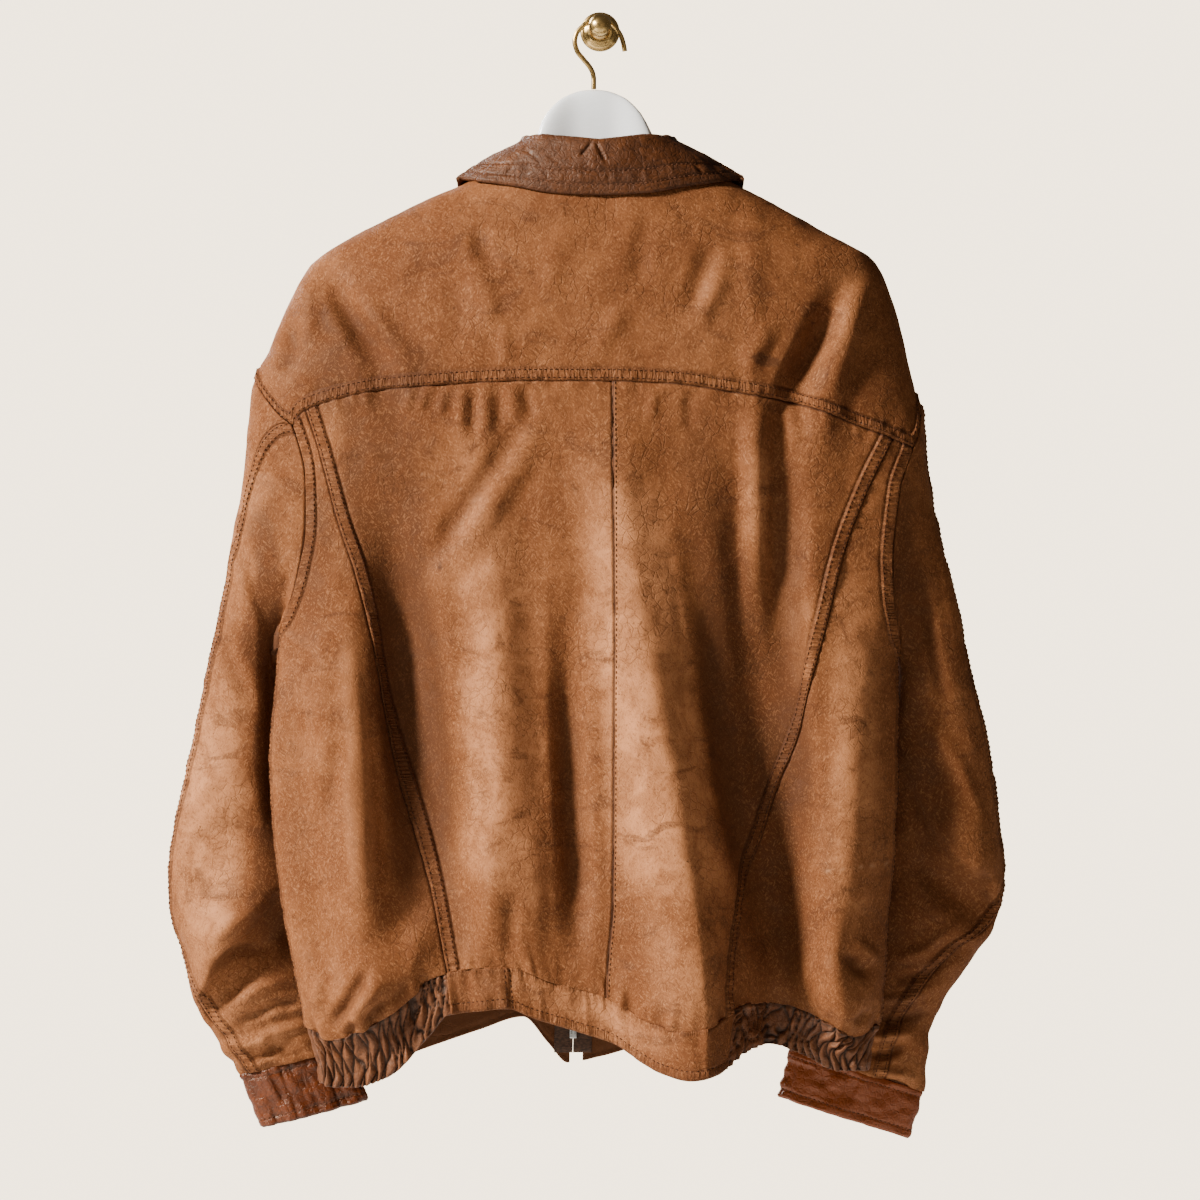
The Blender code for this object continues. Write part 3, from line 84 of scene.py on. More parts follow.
# Depths of the side edges, the centre back and the centre front: drop, then y.
SIDE_DEPTH = [
    (0.117, -0.061), (0.200, -0.061), (0.300, -0.066), (0.400, -0.078), (0.500, -0.092),
    (0.700, -0.094), (0.850, -0.096),
]
BACK_DEPTH = [
    (0.110, -0.089), (0.150, -0.098), (0.200, -0.108), (0.286, -0.119), (0.400, -0.125),
    (0.600, -0.130), (0.750, -0.134), (0.850, -0.132),
]
FRONT_DEPTH = [
    (0.117, -0.040), (0.200, -0.034), (0.300, -0.027), (0.500, -0.024), (0.700, -0.026),
    (0.850, -0.032),
]
# How boxy each half of a ring is: 1 is an ellipse, less is squarer, more is a thin edge.
BACK_POWER = [(0.117, 0.95), (0.200, 0.90), (0.350, 0.72), (0.850, 0.70)]
FRONT_POWER = [(0.117, 0.95), (0.300, 0.85), (0.450, 0.90), (0.560, 1.45), (0.850, 1.30)]

# Seams on the back. Those that run across give x, then drop; those that run down, drop, then x.
YOKE_SEAM = [
    (-0.246, 0.321), (-0.238, 0.311), (-0.212, 0.301), (-0.179, 0.294), (-0.136, 0.290),
    (-0.088, 0.287), (-0.050, 0.286), (0.000, 0.286), (0.057, 0.288), (0.101, 0.294),
    (0.139, 0.300), (0.175, 0.309), (0.206, 0.321), (0.235, 0.332), (0.250, 0.339),
]
LEFT_PRINCESS = [
    (0.300, -0.238), (0.342, -0.224), (0.397, -0.209), (0.445, -0.193), (0.517, -0.175),
    (0.580, -0.160), (0.652, -0.143), (0.715, -0.129), (0.760, -0.121),
]
RIGHT_PRINCESS = [
    (0.325, 0.237), (0.374, 0.213), (0.421, 0.195), (0.477, 0.181), (0.525, 0.168),
    (0.580, 0.151), (0.636, 0.133), (0.683, 0.119), (0.731, 0.109), (0.771, 0.106),
    (0.800, 0.106),
]
CENTRE_BACK = [(0.286, 0.010), (0.500, 0.011), (0.700, 0.010), (0.754, 0.006), (0.800, 0.004)]
BACK_WAIST = [
    (-0.235, 0.800), (-0.224, 0.808), (-0.212, 0.811), (-0.193, 0.806), (-0.160, 0.786),
    (-0.130, 0.760), (-0.095, 0.753), (-0.071, 0.753), (-0.039, 0.764), (0.004, 0.776),
    (0.032, 0.792), (0.063, 0.802), (0.085, 0.800), (0.106, 0.788), (0.118, 0.782),
    (0.157, 0.786), (0.179, 0.798), (0.204, 0.809), (0.222, 0.800),
]
BACK_HEM = [
    (-0.232, 0.840), (-0.214, 0.849), (-0.197, 0.849), (-0.168, 0.840), (-0.135, 0.806),
    (-0.122, 0.791), (-0.095, 0.787), (-0.074, 0.785), (-0.052, 0.793), (-0.016, 0.804),
    (0.011, 0.813), (0.032, 0.827), (0.047, 0.835), (0.071, 0.841), (0.096, 0.836),
    (0.113, 0.822), (0.135, 0.815), (0.158, 0.822), (0.192, 0.836), (0.216, 0.836),
]
FRONT_WAIST = [
    (-0.235, 0.802), (-0.180, 0.792), (-0.137, 0.780), (-0.097, 0.766), (-0.064, 0.760),
    (-0.040, 0.778), (-0.024, 0.791), (0.000, 0.787), (0.060, 0.773), (0.110, 0.773),
    (0.160, 0.780), (0.222, 0.798),
]
FRONT_HEM = [
    (-0.232, 0.842), (-0.180, 0.834), (-0.137, 0.820), (-0.097, 0.807), (-0.062, 0.797),
    (-0.042, 0.818), (-0.026, 0.834), (0.000, 0.829), (0.060, 0.815), (0.110, 0.815),
    (0.160, 0.820), (0.216, 0.834),
]
NECK = [(0.0, 0.112), (1.0, 0.118), (1.15, 0.123), (1.6, 0.150), (1.8, 0.162), (2.1, 0.167)]
ZIP_LINE = [(0.160, -0.004), (0.500, -0.013), (0.840, -0.0225)]
ZIP_OPENING = 0.006
TAPE_TOP = 0.170
TAPE_BOTTOM = 0.826
TAPE_INNER = 0.0004
TAPE_OUTER = 0.015
TAPE_THICKNESS = 0.0009
TAPE_DEPTH = LEATHER + 0.0006
SLIDER_DROP = 0.1855
ZIP_BOX_DROP = 0.810
TEETH_BELOW_SLIDER = 0.008
TEETH_ABOVE_BOX = 0.006
TOOTH_PITCH = 0.0023
TOOTH_LENGTH = 0.0034
TOOTH_HEIGHT = 0.00125
TOOTH_DEPTH = 0.0013
TOOTH_ROUNDING = 0.00015

# The back's main folds. Each row: drop, centre x, reach to its left and right, height outwards.
BACK_FOLDS = {
    "right yoke trough": [
        (0.200, 0.194, 0.018, 0.022, 0.000), (0.235, 0.181, 0.020, 0.022, -0.004),
        (0.290, 0.156, 0.022, 0.024, -0.006), (0.350, 0.140, 0.024, 0.026, -0.002),
    ],
    "right yoke ridge": [
        (0.195, 0.214, 0.020, 0.018, 0.000), (0.240, 0.202, 0.022, 0.020, 0.003),
        (0.300, 0.184, 0.024, 0.022, 0.004), (0.350, 0.176, 0.024, 0.024, 0.001),
    ],
    "left yoke trough": [
        (0.190, -0.222, 0.014, 0.020, 0.000), (0.230, -0.200, 0.018, 0.022, -0.003),
        (0.290, -0.172, 0.020, 0.024, -0.003), (0.340, -0.160, 0.020, 0.024, 0.000),
    ],
    "left ridge": [
        (0.300, -0.100, 0.030, 0.030, 0.000), (0.420, -0.090, 0.034, 0.036, 0.005),
        (0.540, -0.080, 0.036, 0.036, 0.010), (0.650, -0.076, 0.036, 0.040, 0.010),
        (0.760, -0.080, 0.040, 0.050, 0.003),
    ],
    "right ridge": [
        (0.300, 0.010, 0.050, 0.045, 0.000), (0.400, 0.022, 0.050, 0.034, 0.008),
        (0.540, 0.042, 0.056, 0.030, 0.016), (0.650, 0.062, 0.064, 0.032, 0.021),
        (0.740, 0.078, 0.080, 0.034, 0.025), (0.850, 0.084, 0.090, 0.034, 0.026),
    ],
    "right trough": [
        (0.330, 0.120, 0.040, 0.040, 0.000), (0.450, 0.120, 0.040, 0.050, -0.010),
        (0.540, 0.120, 0.044, 0.050, -0.016), (0.650, 0.130, 0.044, 0.050, -0.020),
        (0.750, 0.140, 0.040, 0.055, -0.022), (0.850, 0.145, 0.036, 0.060, -0.020),
    ],
    "trough strip": [
        (0.300, 0.122, 0.016, 0.016, 0.001), (0.380, 0.124, 0.017, 0.017, 0.005),
        (0.450, 0.125, 0.017, 0.017, 0.004), (0.500, 0.126, 0.017, 0.017, 0.000),
    ],
    "right side ridge": [
        (0.430, 0.212, 0.030, 0.040, 0.000), (0.560, 0.200, 0.034, 0.045, 0.007),
        (0.680, 0.196, 0.038, 0.050, 0.010), (0.770, 0.190, 0.040, 0.050, 0.010),
        (0.850, 0.190, 0.040, 0.050, 0.000),
    ],
    "left trough": [
        (0.360, -0.170, 0.040, 0.040, 0.000), (0.450, -0.162, 0.036, 0.040, -0.008),
        (0.540, -0.150, 0.034, 0.040, -0.011), (0.650, -0.134, 0.034, 0.040, -0.009),
        (0.760, -0.126, 0.036, 0.040, -0.002),
    ],
    "left side ridge": [
        (0.420, -0.220, 0.030, 0.030, 0.000), (0.540, -0.216, 0.030, 0.034, 0.006),
        (0.700, -0.196, 0.036, 0.040, 0.009), (0.780, -0.186, 0.040, 0.040, 0.008),
        (0.850, -0.186, 0.040, 0.040, -0.004),
    ],
    "middle valley": [
        (0.440, -0.026, 0.018, 0.020, 0.000), (0.540, -0.026, 0.020, 0.022, -0.005),
        (0.680, -0.018, 0.020, 0.020, -0.005), (0.760, -0.018, 0.020, 0.020, 0.000),
    ],
}
# The front hangs in two soft ridges beside the zip.
FRONT_FOLDS = {
    "left front ridge": [
        (0.250, -0.080, 0.050, 0.050, 0.000), (0.500, -0.090, 0.050, 0.050, 0.006),
        (0.780, -0.090, 0.050, 0.050, 0.004),
    ],
    "right front ridge": [
        (0.250, 0.080, 0.050, 0.050, 0.000), (0.500, 0.085, 0.050, 0.050, 0.006),
        (0.780, 0.090, 0.050, 0.050, 0.004),
    ],
}

# Where panels end: turns round the body, and how far down the side the armholes reach.
ARMHOLE_SHARE = 0.36
SIDE_FOOT = 0.806
YOKE_FRONT_TURN = 1.15
SIDE_SEAM_TURN = 1.06
LEFT_PRINCESS_TOP = -0.2335
RIGHT_PRINCESS_TOP = 0.2355
CENTRE_BACK_TOP = 0.010
COLLAR_END_DROP = 0.166
# Drops that the search for a seam starts from, and its steps.
YOKE_START = 0.30
WAIST_START = 0.79
HEM_START = 0.83
SEAM_FOOT_START = 0.78
SEARCH_STEPS = 12

# Armholes: drops of the shoulder tip and yoke corners, then the turns of their two edges by share
# of the way from the yoke's corner down to the underarm.
ARMHOLES = {
    "left": {"sign": -1, "tip": 0.284, "front_corner": 0.292, "corner": 0.321},
    "right": {"sign": 1, "tip": 0.304, "front_corner": 0.310, "corner": 0.339},
}
BACK_EDGE = [(0.0, 0.765), (0.2, 0.735), (0.45, 0.745), (0.7, 0.80), (0.88, 0.90), (1.0, 1.06)]
FRONT_EDGE = [(0.0, 1.15), (0.25, 1.25), (0.55, 1.29), (0.8, 1.22), (1.0, 1.06)]

# Sleeves, from the armhole to the cuff's top: outer edge x, y, drop, inner edge x, y, drop, and
# half the thickness. The inner edge lies beside the body, towards the wall.
SLEEVES = {
    "left": [
        (-0.276, -0.063, 0.284, -0.256, -0.083, 0.494, 0.024),
        (-0.282, -0.064, 0.336, -0.2545, -0.076, 0.514, 0.025),
        (-0.294, -0.067, 0.410, -0.251, -0.064, 0.536, 0.027),
        (-0.309, -0.070, 0.490, -0.240, -0.052, 0.570, 0.029),
        (-0.326, -0.068, 0.575, -0.224, -0.037, 0.618, 0.030),
        (-0.343, -0.063, 0.655, -0.216, -0.035, 0.682, 0.030),
        (-0.345, -0.057, 0.704, -0.215, -0.034, 0.710, 0.030),
        (-0.336, -0.053, 0.745, -0.213, -0.034, 0.735, 0.027),
        (-0.326, -0.049, 0.785, -0.209, -0.033, 0.763, 0.024),
        (-0.308, -0.044, 0.817, -0.204, -0.032, 0.791, 0.020),
        (-0.291, -0.040, 0.844, -0.202, -0.032, 0.821, 0.015),
    ],
    "right": [
        (0.256, -0.063, 0.304, 0.240, -0.080, 0.508, 0.024),
        (0.261, -0.064, 0.350, 0.2355, -0.074, 0.525, 0.025),
        (0.272, -0.067, 0.409, 0.233, -0.062, 0.550, 0.027),
        (0.288, -0.070, 0.477, 0.226, -0.052, 0.580, 0.029),
        (0.304, -0.069, 0.545, 0.206, -0.037, 0.600, 0.030),
        (0.318, -0.064, 0.618, 0.202, -0.034, 0.640, 0.030),
        (0.324, -0.059, 0.680, 0.202, -0.034, 0.674, 0.030),
        (0.317, -0.055, 0.722, 0.194, -0.034, 0.702, 0.029),
        (0.298, -0.051, 0.752, 0.182, -0.034, 0.728, 0.027),
        (0.278, -0.047, 0.782, 0.168, -0.033, 0.756, 0.024),
        (0.266, -0.043, 0.815, 0.158, -0.032, 0.788, 0.020),
        (0.261, -0.040, 0.857, 0.152, -0.032, 0.823, 0.015),
    ],
}
SLEEVE_JOIN = 0.16
SLEEVE_SQUARE = 0.95
UNDERARM_CLEARANCE = 0.026
UNDERARM_REACH = 0.24
# How dark the sleeve's inner face is painted near the underarm.
UNDERARM_SHADE = 0.45
# The elbow's fold on the side seen from behind: the upper sleeve overhangs the forearm there.
ELBOW_FOLDS = {
    "left": [(-0.328, 0.787), (-0.300, 0.745), (-0.259, 0.692)],
    "right": [(0.243, 0.590), (0.262, 0.640), (0.282, 0.663), (0.321, 0.690)],
}
ELBOW_REACH = 0.036
# Angles of the sleeves' back seams from the outer edge, by share of the sleeve's length.
BACK_SEAM = {
    "left": [(0.0, None), (0.15, 0.55), (0.33, 0.0), (0.65, -0.2), (0.80, 0.35), (1.0, 0.6)],
    "right": [(0.0, 0.0), (0.10, -0.2), (0.55, -0.2), (0.70, 0.7), (1.0, 1.15)],
}
INNER_SEAM_TURN = 0.30

CUFFS = {
    "left": {"down": (0.016, 0.0, -0.043), "narrowing": 0.98},
    "right": {"down": (-0.010, 0.0, -0.038), "narrowing": 0.98},
}

# Collar: the roll line and the fall's edge, by turn: x, y and drop on the back and sides.
ROLL_HALF_WIDTH = 0.060
ROLL_MIDDLE = (-0.001, -0.062)
ROLL_BACK = 0.030
ROLL_FRONT = 0.025
ROLL_FRONT_POWER = 0.7
ROLL_DROP = [(0.0, 0.0935), (0.5, 0.0895), (1.0, 0.0895), (1.4, 0.107), (2.0, 0.148)]
ROLL_RADIUS = [(0.0, 0.0034), (0.8, 0.0040), (1.0, 0.0044), (1.3, 0.0042), (2.0, 0.0034)]
FALL_EDGE_X = [(0.0, 0.000), (0.5, 0.062), (0.85, 0.104), (1.0, 0.114), (1.2, 0.112),
               (1.6, 0.086), (2.0, 0.046)]
FALL_EDGE_DROP = [(0.0, 0.1385), (0.3, 0.1365), (0.6, 0.1300), (0.85, 0.1265), (1.0, 0.1250),
                  (1.2, 0.145), (1.6, 0.194), (2.0, 0.222)]
FALL_LIFT = 0.0024
FALL_BULGE = [(0.0, 0.003), (0.8, 0.0012), (1.0, 0.0008), (1.2, 0.006), (2.0, 0.005)]
FALL_ROWS = 5
# Where the collar's edge crosses the shoulder's crest.
CREST_START = 0.098
CREST_WIDTH = 0.016

HOOK_PLANE = -0.058
HANGER_ARM_PLANE = -0.064
WIRE_RADIUS = 0.002
KNOB_NECK_RADIUS = 0.004
HOOK_SEAT = KNOB_NECK_RADIUS + WIRE_RADIUS + 0.0003
HANGER_CLEARANCE = 0.0008
# The hanger's top edge between the shoulders, x then drop: a domed neck, then two arms to the tips.
HANGER_TOP = [
    (-0.226, 0.2010), (-0.222, 0.1945), (-0.212, 0.1850), (-0.088, 0.1240), (-0.064, 0.1150),
    (-0.053, 0.1000), (-0.050, 0.0850), (-0.042, 0.0690), (-0.028, 0.0565), (-0.012, 0.0513),
    (-0.005, 0.0510), (0.002, 0.0513), (0.018, 0.0565), (0.032, 0.0690), (0.041, 0.0850),
    (0.047, 0.1000), (0.060, 0.1150), (0.084, 0.1240), (0.206, 0.1880), (0.213, 0.1955),
    (0.217, 0.2020),
]
HANGER_MIDDLE = -0.0045
HANGER_REACH = 0.223
# The hook's wire, x then height: up from the hanger's neck, over the knob and down to its tip.
HOOK_ROUTE = [
    (-0.0050, -0.0505), (-0.0050, -0.0420), (-0.0058, -0.0375), (-0.0080, -0.0330),
    (-0.0135, -0.0262), (-0.0185, -0.0195), (-0.0203, -0.0120), (-0.0188, -0.0055),
    (-0.0150, -0.0010), (-0.0090, 0.0038), (-0.0045, HOOK_SEAT - 0.0005), (0.0, HOOK_SEAT),
    (0.0045, HOOK_SEAT - 0.0005), (0.0090, 0.0030), (0.0140, -0.0030), (0.0172, -0.0085),
    (0.0190, -0.0145), (0.0200, -0.0200),
]
# Turned profiles: radius, then reach from the wall.
ROSETTE_PROFILE = [
    (0.0, 0.0095), (0.0085, 0.0095), (0.0105, 0.0088), (0.0108, 0.0070), (0.0125, 0.0062),
    (0.0138, 0.0045), (0.0142, 0.0032), (0.0156, 0.0026), (0.0160, 0.0012), (0.0160, 0.0),
    (0.0, 0.0),
]
STEM_PROFILE = [(KNOB_NECK_RADIUS, 0.0500), (0.0052, 0.0460), (0.0052, 0.0160), (0.0075, 0.0098),
                (0.0, 0.0098)]
BALL_RADIUS = 0.009
BALL_REACH = 0.0715
BALL_STEPS = 8
BALL_ARC = 0.86 * pi
# The waistband: its joint and elastics by share, and the elastics' puffs.
BAND_JOINT_SHARE = 0.4
ELASTIC_SHARE = 2 / 7
PUFF_PITCH = 0.0100
# Stitch rows, by their distance from a seam or an edge.
NEAR_ROW = 0.0020
CENTRE_ROW = 0.0022
FAR_ROW = 0.0082
YOKE_FAR_ROW = 0.0084
ZIP_ROWS = (0.0022, 0.0090)
BAND_ROW = 0.0074
CUFF_TOP_ROW = 0.0052
CUFF_BOTTOM_ROW = 0.0066
COLLAR_ROWS = (0.0080, 0.0190)
# The corners round a stitch.
STITCH_SIDES = 5
# The collar's length to a turn, and how its outward ways are evened out.
COLLAR_PER_TURN = 0.115
WAYS_STEPS = 6
WAYS_ROW = 60
# The fine grids: rows, then columns.
BACK_ROWS = 196
YOKE_GRID = (104, 310)
FRONT_GRID = (186, 108)
SLEEVE_GRID = (164, 72)
CUFF_GRID = (42, 240)
BAND_ROWS = 40
ELASTIC_GRID = (54, 330)
COLLAR_GRID = (84, 360)
TAPE_GRID = (240, 12)
HANGER_GRID = (150, 36)
TURNED_SIDES = 72

MM = 0.001
BODY = "jacket"
ORIGIN_TO_CAMERA = 6.0
CAMERA_DROP = 0.461
LENS = 221.8
FLOOR_HALF = 1.6
FLOOR_DROP = 1.15
FOLD_DEPTH = 1.3
OVERHANG = 0.015

# Creases, in millimetres: height outwards, half width, then (x, drop) along the line.
YOKE_CREASES = [
    (3.2, 14, [(-236, 198), (-233, 262)]),
    (-3.0, 13, [(-243, 232), (-251, 290)]),
    (-3.4, 15, [(-219, 204), (-190, 248), (-162, 282)]),
    (2.4, 14, [(-206, 200), (-172, 246), (-146, 280)]),
    (-2.4, 13, [(-102, 156), (-84, 206)]),
    (2.4, 15, [(-100, 186), (-84, 250)]),
    (-1.8, 14, [(-117, 196), (-112, 262)]),
    (1.5, 9, [(-77, 238), (-74, 276)]),
    (-4.2, 18, [(186, 220), (170, 258), (150, 294)]),
    (3.6, 17, [(211, 202), (198, 250), (180, 300)]),
    (-2.8, 15, [(92, 170), (70, 236)]),
    (2.8, 14, [(100, 192), (76, 246)]),
    (2.6, 13, [(142, 234), (112, 282)]),
    (1.6, 13, [(22, 218), (-6, 274)]),
    (-1.6, 14, [(40, 150), (26, 214)]),
    (1.4, 16, [(-30, 160), (-44, 232)]),
]
UPPER_BACK_CREASES = [
    (2.0, 6, [(-150, 292), (-154, 314)]),
    (2.0, 6, [(-138, 292), (-144, 312)]),
    (2.2, 6, [(-123, 290), (-128, 318)]),
    (2.2, 8, [(-109, 288), (-112, 332)]),
    (-2.2, 7, [(-101, 288), (-102, 336)]),
    (2.2, 8, [(-92, 288), (-91, 338)]),
    (-2.0, 7, [(-82, 287), (-79, 332)]),
    (2.0, 8, [(-71, 287), (-67, 324)]),
    (-2.0, 7, [(-60, 286), (-54, 322)]),
    (-3.4, 14, [(-56, 306), (-80, 347), (-112, 394), (-148, 446)]),
    (3.4, 17, [(-42, 312), (-64, 353), (-96, 400), (-130, 450)]),
    (-0.8, 5, [(-218, 349), (-146, 350)]),
    (1.6, 8, [(44, 289), (40, 322)]),
    (-1.8, 9, [(70, 291), (72, 330)]),
    (2.0, 9, [(150, 305), (158, 340)]),
]
BACK_CREASES = [
    (2.6, 16, [(-90, 610), (-88, 690), (-90, 752)]),
    (2.8, 18, [(-52, 620), (-50, 690), (-54, 754)]),
    (-4.6, 18, [(-26, 500), (-25, 600), (-20, 684), (-24, 756)]),
    (-1.8, 9, [(-70, 690), (-71, 752)]),
    (4.5, 21, [(42, 340), (52, 421), (60, 518), (72, 600), (86, 660), (100, 750)]),
    (-6.5, 19, [(72, 381), (83, 461), (92, 541), (105, 622), (121, 694), (133, 760)]),
    (3.2, 17, [(124, 300), (125, 381), (124, 470)]),
    (-6.0, 22, [(150, 310), (150, 400), (150, 493), (156, 600), (160, 700)]),
    (-5.0, 9, [(194, 738), (203, 750), (215, 762)]),
    (3.5, 9, [(200, 730), (213, 742), (222, 752)]),
    (-3.2, 7, [(215, 786), (203, 800)]),
    (2.6, 12, [(186, 700), (184, 780)]),
    (2.6, 26, [(200, 530), (203, 620), (199, 720)]),
    (-3.2, 26, [(-160, 400), (-156, 541), (-146, 660)]),
    (2.0, 13, [(-214, 560), (-196, 640), (-190, 720)]),
    (7.0, 19, [(-202, 440), (-197, 520), (-192, 600), (-186, 690), (-182, 752)]),
    (-7.5, 22, [(-168, 420), (-162, 541), (-154, 660), (-150, 752)]),
    (-6.0, 30, [(-152, 390), (-145, 480), (-136, 580), (-128, 680), (-122, 745)]),
    (-3.0, 12, [(-203, 560), (-214, 610), (-222, 650)]),
    (-7.0, 8, [(-182, 748), (-200, 778), (-217, 806)]),
    (4.5, 9, [(-172, 760), (-190, 786), (-203, 806)]),
    (-5.0, 6, [(-164, 774), (-180, 792), (-190, 806)]),
    (-4.0, 5, [(-196, 794), (-200, 810)]),
    (3.0, 8, [(-222, 756), (-227, 790)]),
    (-3.0, 7, [(-150, 762), (-164, 782)]),
    (2.0, 12, [(160, 660), (166, 730), (170, 780)]),
    (-2.2, 11, [(140, 690), (148, 740), (152, 780)]),
]
# The fronts face the wall: soft drapes like the back's.
FRONT_CREASES = [
    (3.0, 14, [(-150, 330), (-120, 430), (-110, 560)]),
    (-3.0, 12, [(-176, 400), (-150, 520), (-138, 660)]),
    (2.6, 14, [(-60, 300), (-56, 450), (-62, 640)]),
    (-2.4, 10, [(-34, 380), (-36, 560), (-40, 740)]),
    (3.0, 14, [(150, 340), (124, 440), (112, 580)]),
    (-3.0, 12, [(178, 420), (156, 540), (140, 680)]),
    (2.6, 14, [(62, 300), (58, 460), (60, 650)]),
    (-2.4, 10, [(36, 400), (34, 570), (30, 740)]),
    (-2.2, 8, [(-210, 240), (-180, 300)]),
    (2.2, 8, [(200, 240), (176, 300)]),
    (2.4, 10, [(-190, 640), (-150, 700), (-100, 745)]),
    (-2.4, 9, [(180, 660), (150, 715), (110, 755)]),
]
SLEEVE_CREASES = {
    "left": [
        (-2.8, 5, [(-315, 531), (-294, 554)]),
        (-8.0, 17, [(-258, 430), (-260, 540), (-258, 640), (-255, 700)]),
        (2.4, 9, [(-300, 400), (-285, 450), (-268, 500)]),
        (-2.6, 9, [(-312, 470), (-292, 520), (-270, 560)]),
        (2.6, 10, [(-330, 620), (-300, 600), (-272, 606)]),
        (-2.6, 9, [(-335, 660), (-300, 640), (-262, 650)]),
        (3.0, 9, [(-318, 742), (-290, 716), (-262, 700)]),
        (-4.0, 9, [(-320, 766), (-292, 745), (-262, 735)]),
        (2.6, 8, [(-306, 792), (-270, 770), (-236, 762)]),
        (-3.4, 8, [(-300, 806), (-262, 788), (-228, 782)]),
        (3.2, 8, [(-296, 824), (-258, 808), (-224, 800)]),
        (-3.0, 6, [(-290, 838), (-262, 822), (-240, 818)]),
        (-2.4, 5, [(-263, 808), (-264, 832)]),
        (2.2, 5, [(-270, 806), (-274, 832)]),
    ],
    "right": [
        (2.4, 9, [(270, 400), (283, 460), (292, 520)]),
        (-2.6, 9, [(256, 440), (266, 500), (280, 560)]),
        (2.6, 9, [(262, 560), (285, 590), (310, 640)]),
        (-3.2, 8, [(300, 683), (318, 687)]),
        (-2.8, 8, [(242, 600), (262, 652), (290, 676)]),
        (3.0, 9, [(236, 600), (252, 660), (280, 690)]),
        (-2.8, 7, [(304, 690), (316, 714)]),
        (3.0, 8, [(292, 716), (262, 742), (230, 752)]),
        (-3.2, 7, [(296, 740), (262, 762), (226, 766)]),
        (3.0, 7, [(280, 766), (246, 782), (206, 782)]),
        (-3.2, 6, [(272, 790), (236, 800), (196, 796)]),
        (5.0, 7, [(262, 806), (224, 812), (184, 804)]),
        (-6.5, 6, [(208, 828), (232, 827), (252, 816)]),
        (6.0, 8, [(204, 840), (232, 841), (256, 846)]),
        (-4.6, 5, [(212, 836), (236, 849), (257, 861)]),
        (-3.0, 6, [(200, 812), (180, 822), (166, 818)]),
    ],
}
# Stains and blots, in millimetres: x, drop, half width, half height, tilt in degrees, strength.
STAINS = [
    (132, 270, 13, 5, 12, 0.55), (172, 240, 2.0, 2.0, 0, 0.7), (158, 177, 1.6, 1.6, 0, 0.7),
    (80, 255, 1.6, 1.6, 0, 0.7), (-127, 434, 3, 3, 0, 0.6), (-20, 372, 4, 2, 30, 0.5),
]
# Broad patches, in millimetres: x, drop, half width, half height, lean, tone. Some are real wear
# and dirt; most are painted light on the lit ridges and painted shade in the troughs. A positive
# tone is painted pale, a negative one dark. The lean shifts x per unit of drop.
WEAR_AND_PAINTED_LIGHT = [
    (-156, 505, 34, 230, 0.12, -1.1), (-176, 375, 56, 76, -0.2, -0.6),
    (-32, 600, 14, 130, 0.0, -0.6),
    (112, 520, 34, 190, 0.18, -1.0), (152, 640, 36, 130, 0.0, -0.7), (124, 380, 11, 70, 0.02, 0.6),
    (-188, 272, 70, 48, 0.3, -1.05), (152, 264, 20, 44, -0.5, -0.45), (62, 700, 30, 46, 0.2, -0.4),
    (-228, 425, 17, 66, 0.0, -0.55), (-105, 228, 56, 50, -0.3, 0.15), (84, 240, 24, 62, -0.4, 0.25),
    (190, 226, 22, 56, -0.3, 0.30), (-80, 575, 40, 240, 0.05, 0.66), (42, 565, 48, 240, 0.14, 1.0),
    (198, 590, 32, 150, -0.05, 0.68), (20, 720, 70, 40, 0.0, -0.20), (-80, 725, 46, 46, 0.0, -0.50),
    (-60, 150, 60, 24, 0.0, -0.35), (60, 330, 60, 40, 0.0, -0.30), (-225, 500, 22, 60, 0.0, -0.30),
]
# The sleeves' patches, as above: painted light on their lit parts, painted shade where the body
# shades them and in the slot beside the body.
SLEEVE_PAINTED_LIGHT = [
    (-309, 640, 34, 130, -0.08, 0.80), (-263, 560, 17, 190, 0.01, -1.4),
    (-278, 790, 40, 46, 0.0, 0.4),
    (-290, 420, 20, 80, 0.0, 0.20), (250, 500, 17, 180, 0.10, -0.85), (262, 640, 30, 90, 0.2, -0.6),
    (306, 590, 16, 80, 0.1, 0.25), (230, 740, 50, 70, 0.0, -0.5), (236, 838, 24, 16, 0.0, 0.5),
    (-262, 712, 26, 18, -0.9, -0.7),
]
# Scratches: strength, then (x, drop) along the line. A negative one is dark.
SCRATCHES = [
    (-0.55, [(-107, 373), (-78, 388), (-52, 400)]),
    (0.45, [(-144, 360), (-117, 369), (-107, 375)]),
    (0.45, [(-29, 369), (-18, 376)]),
    (0.60, [(176, 677), (205, 673), (236, 670)]),
]
# The collar's creases, as the jacket's others.
COLLAR_CREASES = [
    (-1.7, 2.4, [(-5, 93), (-10, 100), (-17, 108)]),
    (-1.7, 2.4, [(-4, 94), (1, 104), (6, 114)]),
    (0.7, 6, [(-5, 102), (-6, 116)]),
    (0.6, 8, [(-50, 104), (-24, 108)]),
    (-0.9, 6, [(-22, 116), (-4, 119), (30, 117)]),
    (-0.7, 6, [(-84, 120), (-50, 114)]),
    (0.6, 8, [(44, 112), (84, 118)]),
    (-0.8, 2.6, [(-62, 99), (-46, 112)]),
    (-0.8, 2.4, [(-44, 104), (-30, 114)]),
    (-0.7, 2.4, [(24, 100), (44, 110)]),
]


